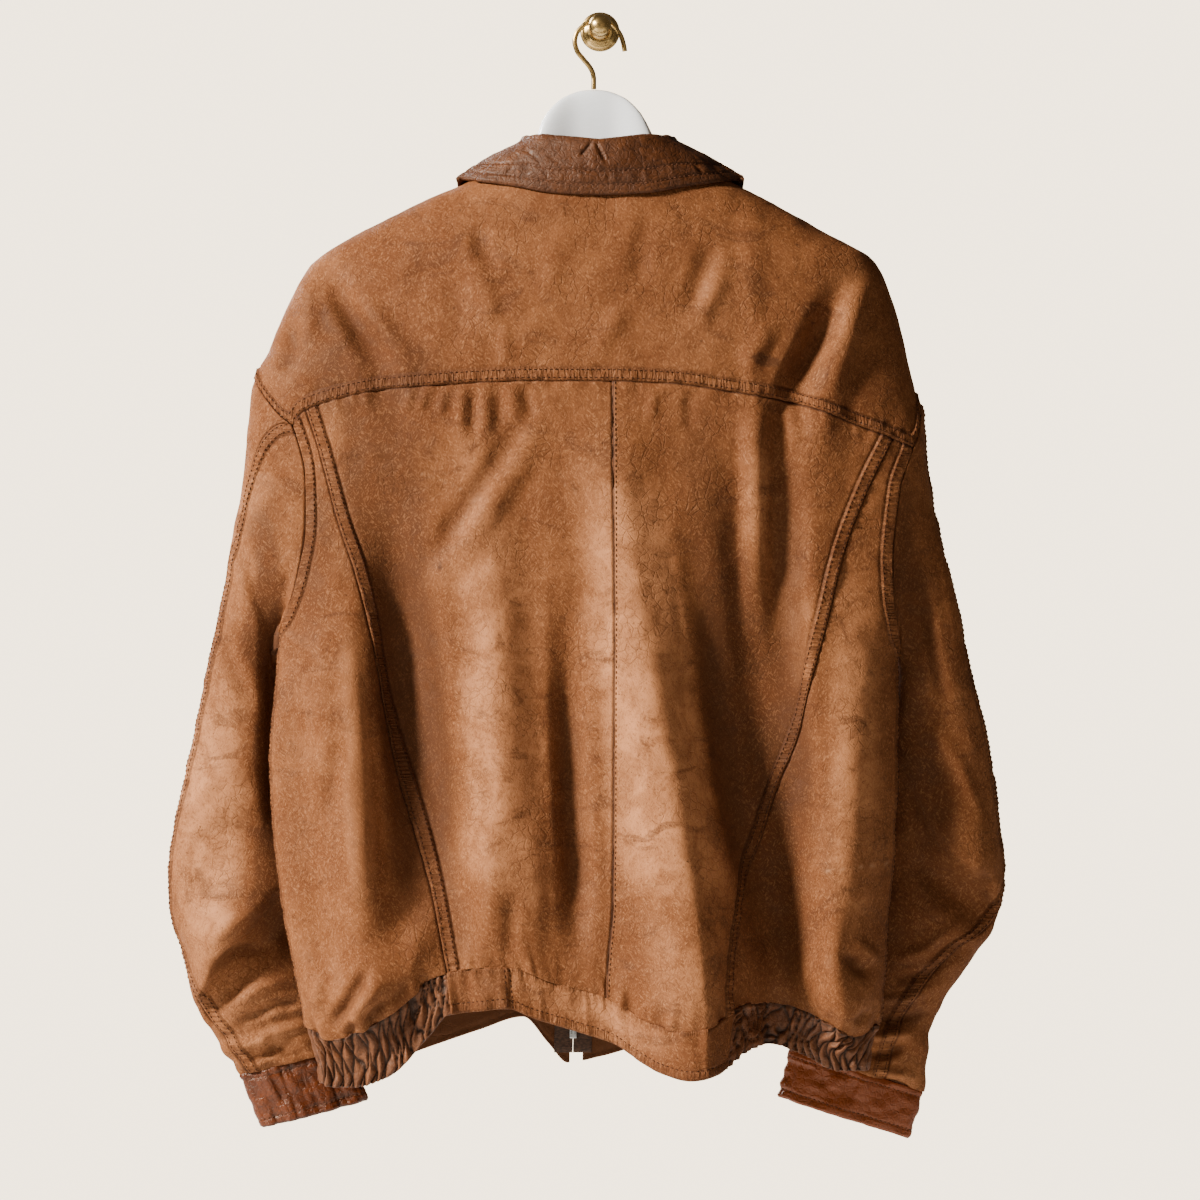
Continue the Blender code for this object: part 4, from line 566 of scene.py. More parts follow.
def smooth(points, key):
    """The values at keys on a smooth curve without overshoot through (key, value) points."""
    places, values = np.array(points, dtype=float).T
    key = np.clip(np.asarray(key, dtype=float), places[0], places[-1])
    index = np.clip(np.searchsorted(places, key, side="right") - 1, 0, len(places) - 2)
    widths = np.diff(places)
    slopes = np.diff(values) / widths
    product_ahead = slopes[:-1] * slopes[1:]
    total = slopes[:-1] + slopes[1:]
    safe = np.where(product_ahead > 0, total, 1.0)
    inner = np.where(product_ahead > 0, 2 * product_ahead / safe, 0.0)
    tangents = np.concatenate([slopes[:1], inner, slopes[-1:]])
    share = (key - places[index]) / widths[index]
    return (
        values[index] * (1 + 2 * share) * (1 - share) ** 2
        + tangents[index] * widths[index] * share * (1 - share) ** 2
        + values[index + 1] * share ** 2 * (3 - 2 * share)
        + tangents[index + 1] * widths[index] * share ** 2 * (share - 1)
    )


def smooth_column(rows, key, column):
    return smooth([(row[0], row[column]) for row in rows], key)


def mix(first, second, share):
    return first + (second - first) * share


def ease(share):
    share = np.clip(share, 0.0, 1.0)
    return share * share * (3 - 2 * share)


def bell(offset):
    """A soft bump that is 1 in its middle and 0 past an offset of 1."""
    return 0.5 + 0.5 * np.cos(pi * np.clip(offset, -1, 1))


def signed_power(value, power):
    return np.sign(value) * np.abs(value) ** power


def unit(vectors):
    length = np.linalg.norm(vectors, axis=-1, keepdims=True)
    return vectors / np.maximum(length, 1e-12)


def travel_along(points):
    """The length passed at each point of a line."""
    steps = np.linalg.norm(np.diff(points, axis=0), axis=1)
    return np.concatenate([[0], np.cumsum(steps)])


def at_travel(place, travel, values):
    """The values at places along a line that has one row of them at each travel."""
    return np.stack([np.interp(place, travel, column) for column in values.T], axis=-1)


def closed(points, axis=0):
    """A ring of points with its first one again at its end."""
    return np.concatenate([points, np.take(points, [0], axis=axis)], axis=axis)


def hashed(cells, seed):
    value = np.sin(cells @ np.array([127.1, 311.7, 74.7]) + seed * 19.19) * 43758.5453
    return value - np.floor(value)


def soft_noise(places, seed):
    """Seeded noise from -1 to 1 over cells one unit wide."""
    base = np.floor(places)
    part = places - base
    part = part * part * (3 - 2 * part)
    total = 0.0
    for corner in product((0, 1), repeat=3):
        corner = np.array(corner)
        weight = np.prod(np.where(corner == 1, part, 1 - part), axis=-1)
        total = total + weight * hashed(base + corner, seed)
    return 2 * total - 1


def noise_on(first, second, seed):
    """Seeded noise over two lengths that are already measured in cells."""
    first, second = np.broadcast_arrays(first, second)
    return soft_noise(np.stack([first, second, np.zeros_like(first)], axis=-1), seed)


# The body's surface.

def folds_at(folds, x, drop):
    height = np.zeros_like(x)
    for rows in folds.values():
        offset = x - smooth_column(rows, drop, 1)
        reach = np.where(offset < 0, smooth_column(rows, drop, 2), smooth_column(rows, drop, 3))
        height += smooth_column(rows, drop, 4) * bell(offset / reach)
    return height


def blousing(x, drop):
    """How far the back bags out over the gathered sides of the waistband."""
    above = smooth(BACK_WAIST, x) - drop
    gathered = ease((-0.12 - x) / 0.03) + ease((x - 0.11) / 0.02)
    return 0.008 * gathered * (bell((above - 0.028) / 0.045) - 0.5 * ease(0.4 - above / 0.03))


def body_x(turn, drop):
    left = smooth(LEFT_SIDE, drop)
    right = smooth(RIGHT_SIDE, drop)
    return (left + right) / 2 + (right - left) / 2 * np.sin(turn * QUARTER_TURN)


def body(turn, drop):
    """The body's outer face."""
    turn, drop = np.broadcast_arrays(np.asarray(turn, dtype=float), np.asarray(drop, dtype=float))
    x = body_x(turn, drop)
    facing = np.cos(turn * QUARTER_TURN)
    side = smooth(SIDE_DEPTH, drop)
    behind = mix(side, smooth(BACK_DEPTH, drop),
                 np.maximum(facing, 0) ** smooth(BACK_POWER, drop))
    behind -= (FOLD_DEPTH * folds_at(BACK_FOLDS, x, drop) + blousing(x, drop)) * ease(facing / 0.55)
    before = mix(side, smooth(FRONT_DEPTH, drop),
                 np.maximum(-facing, 0) ** smooth(FRONT_POWER, drop))
    before += folds_at(FRONT_FOLDS, x, drop) * ease(-facing / 0.55)
    return np.stack([x, np.where(facing >= 0, behind, before), -drop], axis=-1)


def body_normal(turn, drop):
    step = 0.004
    along = body(turn + step, drop) - body(turn - step, drop)
    upward = body(turn, drop - step) - body(turn, drop + step)
    return unit(np.cross(along, upward))


def turn_at(x, drop, front=0):
    left = smooth(LEFT_SIDE, drop)
    right = smooth(RIGHT_SIDE, drop)
    share = (x - (left + right) / 2) / ((right - left) / 2)
    turn = np.arcsin(np.clip(share, -1.0, 1.0)) / QUARTER_TURN
    return turn if front == 0 else 2 * front - turn


def drop_on(seam, turn, start):
    """The drop where a seam that runs across is met at a turn."""
    drop = np.full_like(np.asarray(turn, dtype=float), start)
    for _ in range(SEARCH_STEPS):
        drop = smooth(seam, body_x(turn, drop))
    return drop


def ring_drop(back, front, turn, start):
    """The drop of a seam that runs right round the body."""
    return np.where(np.abs(turn) <= 1, drop_on(back, turn, start), drop_on(front, turn, start))


def yoke_drop(turn):
    return drop_on(YOKE_SEAM, turn, YOKE_START)


def waist_drop(turn):
    return ring_drop(BACK_WAIST, FRONT_WAIST, turn, WAIST_START)


def hem_drop(turn):
    return ring_drop(BACK_HEM, FRONT_HEM, turn, HEM_START)


def neck_drop(turn):
    return smooth(NECK, np.abs(turn))


# Lines between panels. Each is a function of shares from 0 to 1, and gives (turn, drop) places.

def shares(count, hug=0.7):
    """Shares from 0 to 1, closer together near both ends."""
    even = np.linspace(0, 1, count)
    return even - hug * np.sin(2 * pi * even) / (2 * pi)


def across(start, end, seam):
    """A line along a seam that runs across, made to meet both its ends."""
    def line(share):
        turn = mix(start[0], end[0], share)
        ends = seam(np.array([start[0], end[0]], dtype=float))
        shift = mix(start[1] - ends[0], end[1] - ends[1], share)
        return np.stack([turn, seam(turn) + shift], axis=-1)
    return line


def zip_edge(drop, sign):
    """The turns of a front's edge beside the zip."""
    return turn_at(smooth(ZIP_LINE, drop) + sign * ZIP_OPENING, drop, sign)


def seam_down(seam, top_x):
    top = float(smooth(YOKE_SEAM, top_x))
    bottom = SEAM_FOOT_START
    for _ in range(SEARCH_STEPS):
        bottom = float(smooth(BACK_WAIST, smooth(seam, bottom)))

    def line(share):
        drop = mix(top, bottom, share)
        return np.stack([turn_at(smooth(seam, drop), drop), drop], axis=-1)
    return line


def armhole(side):
    """The armhole's corners and its edges as dense (turn, drop) lines."""
    hole = ARMHOLES[side]
    sign = hole["sign"]
    corner_x = YOKE_SEAM[0][0] if sign < 0 else YOKE_SEAM[-1][0]
    corner_turn = abs(float(turn_at(corner_x, hole["corner"])))
    over = sorted([(YOKE_FRONT_TURN, hole["front_corner"]), (1.0, hole["tip"]),
                   (corner_turn, hole["corner"])])
    underarm = mix(hole["corner"], SIDE_FOOT, ARMHOLE_SHARE)

    def top(share):
        turn = mix(YOKE_FRONT_TURN, corner_turn, share)
        return np.stack([sign * turn, smooth(over, turn)], axis=-1)

    def back(share):
        edge = [(0.0, corner_turn)] + BACK_EDGE[1:]
        return np.stack([sign * smooth(edge, share),
                         mix(hole["corner"], underarm, share)], axis=-1)

    def front(share):
        return np.stack([sign * smooth(FRONT_EDGE, share),
                         mix(hole["front_corner"], underarm, share)], axis=-1)
    return {"top": top, "back": back, "front": front, "sign": sign, "underarm": underarm,
            "tip_share": (YOKE_FRONT_TURN - 1.0) / (YOKE_FRONT_TURN - corner_turn)}


def side_line(hole):
    """The side seam, from the underarm to the waist."""
    turn = hole["sign"] * SIDE_SEAM_TURN
    bottom = float(waist_drop(np.array([turn]))[0])

    def line(share):
        return np.stack([np.full_like(share, turn), mix(hole["underarm"], bottom, share)], axis=-1)
    return line


def joined(*lines):
    """Lines put end to end, as one line with shares by drop."""
    fine = np.linspace(0, 1, 80)
    places = np.concatenate([lines[0](fine)] + [line(fine)[1:] for line in lines[1:]])
    reach = (places[:, 1] - places[0, 1]) / (places[-1, 1] - places[0, 1])

    def line(share):
        return at_travel(share, reach, places)
    return line


def patch(top, bottom, left, right, rows, columns, hug=0.7):
    """A fine grid of (turn, drop) places between four lines."""
    over = shares(columns, hug)
    down = shares(rows, hug)
    top, bottom, left, right = top(over), bottom(over), left(down), right(down)
    over = over[None, :, None]
    down = down[:, None, None]
    corners = mix(mix(top[0], top[-1], over), mix(bottom[0], bottom[-1], over), down)
    return mix(top[None], bottom[None], down) + mix(left[:, None], right[:, None], over) - corners


# Marks painted into the colour. The first holds real stains, dark scratches and seam lines, and
# also painted shade in the elastic's gaps and on the sleeves' inner faces by the underarm. The fold
# mark paints shade in the back's fold troughs; the tone mark paints broad light and shade, partly
# real wear and dirt.
MARKS = ("stain", "rub", "relief", "fold", "tone", "rib")


class Cloth:
    """A fine grid of cloth with its relief, marks and distances from its four edges."""

    def __init__(self, points, ways):
        self.points = points
        self.ways = ways
        for mark in (*MARKS, "inside"):
            setattr(self, mark, np.zeros(points.shape[:2]))
        along = np.linalg.norm(np.diff(points, axis=1), axis=2)
        down = np.linalg.norm(np.diff(points, axis=0), axis=2)
        self.left = np.pad(np.cumsum(along, axis=1), ((0, 0), (1, 0)))
        self.right = self.left[:, -1:] - self.left
        self.top = np.pad(np.cumsum(down, axis=0), ((1, 0), (0, 0)))
        self.bottom = self.top[-1:] - self.top

    def outer(self):
        return self.points + self.ways * self.relief[..., None]


def body_cloth(turn, drop):
    return Cloth(body(turn, drop), body_normal(turn, drop))


def distance_to(line, x, drop):
    """Distance from a polyline in the wall's plane, and the share along it."""
    line = np.array(line, dtype=float) * MM
    lengths = np.linalg.norm(np.diff(line, axis=0), axis=1)
    total = lengths.sum()
    nearest = np.full(x.shape, np.inf)
    along = np.zeros(x.shape)
    passed = 0.0
    for start, end, length in zip(line, line[1:], lengths):
        way = (end - start) / length
        reach = (x - start[0]) * way[0] + (drop - start[1]) * way[1]
        held = np.clip(reach, 0, length)
        distance = np.hypot(x - start[0] - held * way[0], drop - start[1] - held * way[1])
        closer = distance < nearest
        nearest = np.where(closer, distance, nearest)
        along = np.where(closer, (passed + held) / total, along)
        passed += length
    return nearest, along


def creases_at(creases, x, drop):
    """Height of the listed creases, which fade out at their ends."""
    height = np.zeros(x.shape)
    for size, half, line in creases:
        xs = [place[0] * MM for place in line]
        drops = [place[1] * MM for place in line]
        reach = half * MM
        near = ((x > min(xs) - reach) & (x < max(xs) + reach)
                & (drop > min(drops) - reach) & (drop < max(drops) + reach))
        if not near.any():
            continue
        distance, along = distance_to(line, x[near], drop[near])
        fade = ease(np.minimum(along, 1 - along) / 0.38 + 0.06)
        height[near] += size * MM * bell(distance / reach) * fade
    return height


def crumple(points, seed):
    """The soft unevenness of worn leather."""
    turned = points @ np.array([[0.8, 0.36, 0.48], [-0.6, 0.48, 0.64], [0.0, -0.8, 0.6]])
    wide = soft_noise(points / 0.034, seed)
    fine = soft_noise(turned / 0.013, seed + 1)
    small = soft_noise(points / 0.006, seed + 2)
    return 0.0009 * wide + 0.00045 * fine + 0.00016 * small


def tone_at(patches, points):
    """Tone of the broad patches, whose edges wander."""
    wander = 0.010 * soft_noise(points / 0.045, 201) + 0.004 * soft_noise(points / 0.014, 203)
    x, drop = points[..., 0] + wander, -points[..., 2] + 1.5 * wander
    tone = np.zeros(x.shape)
    for centre_x, centre_drop, half_width, half_height, lean, strength in patches:
        down = drop - centre_drop * MM
        offset = np.hypot((x - centre_x * MM - lean * down) / (half_width * MM),
                          down / (half_height * MM))
        tone += strength * ease(1.35 - offset)
    return tone


def mark_body(cloth):
    """The body's creases, crumple, stains and scratches on one panel, with its painted light and
    shade.
    """
    x, drop = cloth.points[..., 0], -cloth.points[..., 2]
    behind = ease(-cloth.ways[..., 1] / 0.35)
    before = ease(cloth.ways[..., 1] / 0.35)
    back = YOKE_CREASES + UPPER_BACK_CREASES + BACK_CREASES
    # Painted shade in the troughs of the back's folds.
    cloth.fold = folds_at(BACK_FOLDS, x, drop) * behind
    # Broad patches of painted light and shade, partly real wear and dirt.
    cloth.tone = tone_at(WEAR_AND_PAINTED_LIGHT, cloth.points) * behind
    cloth.relief += creases_at(back, x, drop) * behind
    cloth.relief += creases_at(FRONT_CREASES, x, drop) * before
    cloth.relief += crumple(cloth.points, 3)
    for centre_x, centre_drop, half_width, half_height, tilt, strength in STAINS:
        angle = tilt * pi / 180
        first = (x - centre_x * MM) * cos(angle) + (drop - centre_drop * MM) * sin(angle)
        second = (drop - centre_drop * MM) * cos(angle) - (x - centre_x * MM) * sin(angle)
        offset = np.hypot(first / (half_width * MM), second / (half_height * MM))
        edge = 0.15 * noise_on(x / 0.002, drop / 0.002, 9)
        cloth.stain += strength * ease((1.15 - offset + edge) / 0.3) * behind
    for strength, line in SCRATCHES:
        distance, along = distance_to(line, x, drop)
        mark = ease(1 - distance / 0.0022) * ease(np.minimum(along, 1 - along) / 0.1 + 0.2)
        mark *= behind * (0.6 + 0.5 * noise_on(along * 30, distance, 5))
        cloth.rub += max(strength, 0) * mark
        cloth.stain += max(-strength, 0) * mark


def felled(cloth, distance, along, seed, width=0.0085, height=0.0011, pucker=0.0007, rib=-1):
    """A raised band beside an edge, where the seam is folded under and stitched down.

    Fine ribs cross the band: upright ones where rib is 1, level ones where it is -1.
    """
    flat = ease((width + 0.002 - distance) / 0.002)
    cloth.rib += rib * ease((width + 0.004 - distance) / 0.005)
    rounded = np.sqrt(np.clip(distance / 0.0009, 0, 1))
    cloth.relief += height * flat * rounded
    cloth.relief -= 0.0005 * bell((distance - width - 0.0022) / 0.002)
    cloth.stain += 0.50 * bell((distance - width - 0.0018) / 0.0020)
    cloth.stain += 0.30 * bell((distance - 0.0020) / 0.0011)
    cloth.stain += 0.28 * bell((distance - width + 0.0003) / 0.0011)
    ripple = noise_on(along / 0.0042, distance / 0.012, seed)
    ripple += 0.6 * noise_on(along / 0.0085 + 7, distance / 0.02, seed + 1)
    cloth.relief += pucker * ripple * bell(distance / 0.021) * ease(distance / 0.0015)


def tucked(cloth, distance, along, seed, pucker=0.0005):
    """The other side of a felled seam: it dips under the raised edge."""
    cloth.relief -= 0.0009 * ease(1 - distance / 0.0024)
    cloth.stain += 0.85 * ease(1 - distance / 0.0026)
    ripple = noise_on(along / 0.005, distance / 0.012, seed)
    cloth.relief += pucker * ripple * bell(distance / 0.018)


def gathered(cloth, distance, along, seed, pitch=0.011, reach=0.034, height=0.0024):
    """Small folds that run away from a gathered edge."""
    warp = 0.5 * noise_on(along / 0.03, distance / 0.03, seed)
    ridge = noise_on(along / pitch + warp, distance / (reach * 1.6), seed + 1)
    fine = noise_on(along / (pitch * 0.45) + warp, distance / reach, seed + 2)
    fade = ease(1 - distance / reach)
    cloth.relief += height * (ridge + 0.35 * fine) * fade


# Meshes.

def make_mesh(name, points, faces, rounded=True):
    mesh = bpy.data.meshes.new(name)
    mesh.from_pydata(np.asarray(points).reshape(-1, 3).tolist(), [], faces)
    if rounded:
        mesh.shade_smooth()
    return mesh


def add_piece(name, mesh, material):
    mesh.materials.append(material)
    item = bpy.data.objects.new(name, mesh)
    bpy.context.scene.collection.objects.link(item)
    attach(item, BODY)
    return item


def strip_quads(rows, ring, flip):
    """Quads between rows of vertex numbers."""
    faces = []
    for first, second in zip(rows, rows[1:]):
        if ring:
            first, second = closed(first), closed(second)
        faces.append(np.stack([first[:-1], first[1:], second[1:], second[:-1]], axis=-1))
    faces = np.concatenate(faces)
    return faces[:, ::-1] if flip else faces


def coarse_steps(count, step):
    """Every step-th number of a row, always with its last one."""
    return sorted({*range(0, count - 1, step), count - 1})


def coarse_faces(numbers, ring, step):
    """Wide faces over a fine grid. Along the grid's free edges they keep all its vertices."""
    if ring:
        numbers = closed(numbers, axis=1)
    rows, columns = numbers.shape
    faces = []
    down, over = coarse_steps(rows, step), coarse_steps(columns, step)
    for top, bottom in zip(down, down[1:]):
        for left, right in zip(over, over[1:]):
            above = range(left, right + 1) if top == 0 else (left, right)
            below = range(left, right + 1) if bottom == rows - 1 else (left, right)
            west = range(top + 1, bottom) if not ring and left == 0 else ()
            east = range(top + 1, bottom) if not ring and right == columns - 1 else ()
            face = [numbers[top, column] for column in above]
            face += [numbers[row, right] for row in east]
            face += [numbers[bottom, column] for column in reversed(below)]
            face += [numbers[row, left] for row in reversed(west)]
            faces.append([int(number) for number in face])
    return faces


def lowest_near(relief, reach):
    """The lowest relief within a few grid steps of each place."""
    lowest = relief.copy()
    padded = np.pad(relief, reach, mode="edge")
    rows, columns = relief.shape
    for down, over in product(range(2 * reach + 1), repeat=2):
        lowest = np.minimum(lowest, padded[down:down + rows, over:over + columns])
    return lowest


def edge_loops(outer, numbers, ring):
    """The shell's free edges: vertex numbers, the places inside them, and their direction."""
    if ring:
        return [(numbers[0], outer[1], True), (numbers[-1], outer[-2], False)]
    rows, columns = numbers.shape
    edge = np.concatenate([numbers[0, :-1], numbers[:-1, -1], numbers[-1, :0:-1],
                           numbers[:0:-1, 0]])
    row, column = edge // columns, edge % columns
    inside = outer[np.clip(row, 1, rows - 2), np.clip(column, 1, columns - 2)]
    return [(edge, inside, True)]


def inner_face(cloth, outer, thickness, ring, step):
    """The wall's inner places. Where its faces are coarse, they stay under every hollow."""
    inner = outer - cloth.ways * thickness
    if step > 1:
        sunk = cloth.relief - lowest_near(cloth.relief, 2)
        edge = np.ones(sunk.shape, dtype=bool)
        edge[1:-1] = False
        if not ring:
            edge[:, [0, -1]] = True
        inner = inner - cloth.ways * np.where(edge, 0.0, sunk)[..., None]
    return inner


def shell(name, cloth, material, thickness, ring, step):
    """A closed thin wall of cloth: its outer face, a coarser inner face and rounded edges."""
    outer = cloth.outer()
    rows, columns = outer.shape[:2]
    layer = rows * columns
    numbers = np.arange(layer).reshape(rows, columns)
    across_it = np.cross(outer[1, 1] - outer[1, 0], outer[1, 0] - outer[2, 0])
    flip = bool(np.dot(across_it, cloth.ways[1, 0]) < 0)
    wide = coarse_faces(numbers + layer, ring, step)
    if flip:
        wide = [face[::-1] for face in wide]
    flat_outer = outer.reshape(-1, 3)
    flat_inner = inner_face(cloth, outer, thickness, ring, step).reshape(-1, 3)
    vertices = [flat_outer, flat_inner]
    quads = [strip_quads(list(numbers), ring, not flip)]
    count = 2 * layer
    for edge, inside, forward in edge_loops(outer, numbers, ring):
        middle = (flat_outer[edge] + flat_inner[edge]) / 2
        half = (flat_outer[edge] - flat_inner[edge]) / 2
        outwards = unit(flat_outer[edge] - inside)
        lines = [edge]
        for angle in (pi / 3, 2 * pi / 3):
            vertices.append(middle + half * cos(angle) + outwards * thickness * 0.3 * sin(angle))
            lines.append(np.arange(count, count + len(edge)))
            count += len(edge)
        lines.append(edge + layer)
        quads.append(strip_quads(lines, True, flip == forward))
    faces = np.concatenate(quads).tolist() + wide
    used = sorted({number for face in faces for number in face})
    renumbered = np.full(count, -1)
    renumbered[used] = np.arange(len(used))
    faces = [tuple(renumbered[face].tolist()) for face in faces]
    mesh = make_mesh(name, np.concatenate(vertices)[used], faces)
    for label in (*MARKS, "flesh"):
        data = np.zeros(count)
        if label in MARKS:
            data[:layer] = getattr(cloth, label).reshape(-1)
        if label == "stain":
            data[layer:2 * layer] = cloth.inside.reshape(-1)
        if label == "flesh":
            data[layer:2 * layer] = 1.0
        mesh.attributes.new(label, "FLOAT", "POINT").data.foreach_set("value", data[used])
    return add_piece(f"{name}_cloth", mesh, material)


def hang_cloth(name, cloth, material, thickness=LEATHER, ring=False, step=3):
    """A cloth with its finish, which hides the solid it stands for."""
    item = shell(name, cloth, material, thickness, ring, step)
    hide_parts(name)
    points = closed(cloth.outer(), axis=1) if ring else cloth.outer()


# Stitches.

def stitches(name, rows, material, pitch=0.0042, length=0.0030, radius=0.00038):
    """Small rounded stitches along rows of (points, ways), sunk at their ends."""
    vertices, faces = [], []
    turned = [2 * pi * index / STITCH_SIDES for index in range(STITCH_SIDES)]
    for points, ways in rows:
        travel = travel_along(points)
        number = int(travel[-1] / pitch)
        if number < 1:
            continue
        for centre in (np.arange(number) + 0.5) * travel[-1] / number:
            places = centre + length * np.array([-0.5, -0.25, 0.25, 0.5])
            line = at_travel(places, travel, points)
            way = unit(at_travel(centre, travel, ways))
            over = np.cross(unit(line[-1] - line[0]), way)
            first = len(vertices)
            last = first + 2 * STITCH_SIDES + 1
            vertices.append(line[0] - way * radius * 0.8)
            for ring_centre in (line[1] + way * radius * 0.45, line[2] + way * radius * 0.45):
                for angle in turned:
                    vertices.append(ring_centre + (over * cos(angle) + way * sin(angle)) * radius)
            vertices.append(line[-1] - way * radius * 0.8)
            for index in range(STITCH_SIDES):
                a = first + 1 + index
                b = first + 1 + (index + 1) % STITCH_SIDES
                faces.append((first, b, a))
                faces.append((a, b, b + STITCH_SIDES, a + STITCH_SIDES))
                faces.append((a + STITCH_SIDES, b + STITCH_SIDES, last))
    return add_piece(name, make_mesh(name, vertices, faces), material)


def row_beside(cloth, edge, distance):
    """Points and ways of the line that runs a distance inside one edge of the cloth."""
    away, outer, ways = getattr(cloth, edge), cloth.outer(), cloth.ways
    if edge in ("top", "bottom"):
        away, outer, ways = away.T, outer.transpose(1, 0, 2), ways.transpose(1, 0, 2)
    points, directions = [], []
    for line, line_points, line_ways in zip(away, outer, ways):
        if line[0] > line[-1]:
            line, line_points, line_ways = line[::-1], line_points[::-1], line_ways[::-1]
        if line[-1] < distance:
            continue
        points.append(at_travel(distance, line, line_points))
        directions.append(at_travel(distance, line, line_ways))
    return np.array(points), np.array(directions)


# Sleeves and cuffs.

class Sleeve:
    """A sleeve's surface: a share runs down it, an angle round it from the outer edge."""

    def __init__(self, side, hole):
        self.side = side
        self.sign = hole["sign"]
        last = len(SLEEVES[side]) - 1
        self.keys = [(index / last, *row) for index, row in enumerate(SLEEVES[side])]
        fine = np.linspace(0, 1, 60)
        tip = hole["tip_share"]
        over_back = hole["top"](mix(tip, 1.0, fine))
        over_front = hole["top"](mix(0.0, tip, fine))
        halves = [np.concatenate([over_back, hole["back"](fine)[1:]]),
                  np.concatenate([hole["front"](fine[::-1]), over_front[1:]])]
        self.angles, self.loop = [], []
        for index, places in enumerate(halves):
            points = body(places[:, 0], places[:, 1])
            travel = travel_along(points)
            self.angles.append(pi * index + pi * travel / travel[-1])
            self.loop.append(points)
            if index == 0:
                self.corner_angle = float(self.angles[0][len(fine) - 1])
        self.angles = np.concatenate(self.angles)
        self.loop = np.concatenate(self.loop)

    def ring_at(self, share):
        values = [smooth_column(self.keys, share, column) for column in range(1, 8)]
        outer = np.stack([values[0], values[1], -values[2]], axis=-1)
        inner = np.stack([values[3], values[4], -values[5]], axis=-1)
        reach = (outer - inner) / 2
        backward = np.zeros_like(reach)
        backward[..., 1] = -1
        size = (reach * reach).sum(axis=-1, keepdims=True)
        backward -= reach * (backward * reach).sum(axis=-1, keepdims=True) / size
        return (outer + inner) / 2, reach, unit(backward) * values[6][..., None]

    def elbow(self, place):
        """The upper sleeve overhangs the forearm along the elbow's fold."""
        line = smooth(ELBOW_FOLDS[self.side], place[..., 0])
        above = (line + place[..., 2]) / ELBOW_REACH
        over = bell((above - 0.25) / 2.6)
        under = 0.97 * (1 - ease(-above / 0.20)) - 0.8 * bell((above + 0.85) / 0.85)
        return OVERHANG * np.where(above > 0, over, under)

    def point(self, share, angle):
        share, angle = np.broadcast_arrays(share, angle)
        centre, reach, backward = self.ring_at(share)
        place = (
            centre
            + reach * signed_power(np.cos(angle), SLEEVE_SQUARE)[..., None]
            + backward * signed_power(np.sin(angle), SLEEVE_SQUARE)[..., None]
        )
        facing = np.maximum(0.0, np.sin(angle))
        place[..., 1] -= self.elbow(place) * ease(facing / 0.7) * bell((share - 0.66) / 0.34)
        turned = np.mod(angle, 2 * pi)
        underarm = bell((turned - pi) / 1.3) * bell(share / UNDERARM_REACH)
        place[..., 1] += UNDERARM_CLEARANCE * underarm
        start = at_travel(turned, self.angles, self.loop)
        near = np.clip(share / SLEEVE_JOIN, 0, 1)[..., None]
        start = start + np.array([self.sign, 0, -0.25]) * near * 0.010
        return mix(start, place, ease(near))

    def normal(self, share, angle):
        low = np.maximum(share - 0.012, 0.0)
        high = np.minimum(share + 0.012, 1.0)
        along = self.point(high, angle) - self.point(low, angle)
        round_it = self.point(share, angle + 0.06) - self.point(share, angle - 0.06)
        return unit(np.cross(along, round_it)) * -self.sign


def sleeve_piece(sleeve, piece, rows, columns):
    """The grid of a sleeve's back or front piece, between its two seams."""
    seam = list(BACK_SEAM[sleeve.side])
    if seam[0][1] is None:
        seam[0] = (0.0, sleeve.corner_angle)
    share = shares(rows, 0.35)[:, None]
    back_angle = smooth(seam, share)
    inner_angle = pi + INNER_SEAM_TURN * ease(share / 0.3)
    over = shares(columns, 0.6)[None]
    if piece == "back":
        angle = mix(back_angle, inner_angle, over)
    else:
        angle = mix(inner_angle, back_angle + 2 * pi, over)
    share = share + 0 * angle
    cloth = Cloth(sleeve.point(share, angle), sleeve.normal(share, angle))
    cloth.share = share
    cloth.angle = angle
    cloth.inside = UNDERARM_SHADE * ease((UNDERARM_REACH - share) / 0.05)
    return cloth


def mark_sleeve(cloth, side):
    """A sleeve's folds, those that show and similar ones on its hidden face."""
    x, drop = cloth.points[..., 0], -cloth.points[..., 2]
    behind = ease(-cloth.ways[..., 1] / 0.35)
    cloth.relief += creases_at(SLEEVE_CREASES[side], x, drop) * behind
    # Painted light on the sleeve's lit parts, and painted shade where the body shades it and in the
    # slot beside the body.
    cloth.tone = tone_at(SLEEVE_PAINTED_LIGHT, cloth.points) * behind
    hidden = creases_at(SLEEVE_CREASES[side], x, drop + 0.006 * np.sin(x * 90))
    cloth.relief += 0.8 * hidden * ease(cloth.ways[..., 1] / 0.35)
    cloth.relief += crumple(cloth.points, 11 if side == "left" else 17) * 1.2
    share, angle = cloth.share, cloth.angle
    bunch = ease((share - 0.80) / 0.10) * ease((1.0 - share) / 0.02)
    rings = noise_on(share / 0.032 + 0.35 * np.sin(angle), np.cos(angle) * 1.3, 23)
    cloth.relief += 0.0026 * rings * bunch
    elbow = bell((share - 0.62) / 0.22)
    cloth.relief += 0.0018 * noise_on(share / 0.045 + 0.5 * np.cos(angle), np.sin(angle) * 1.5,
                                      29) * elbow


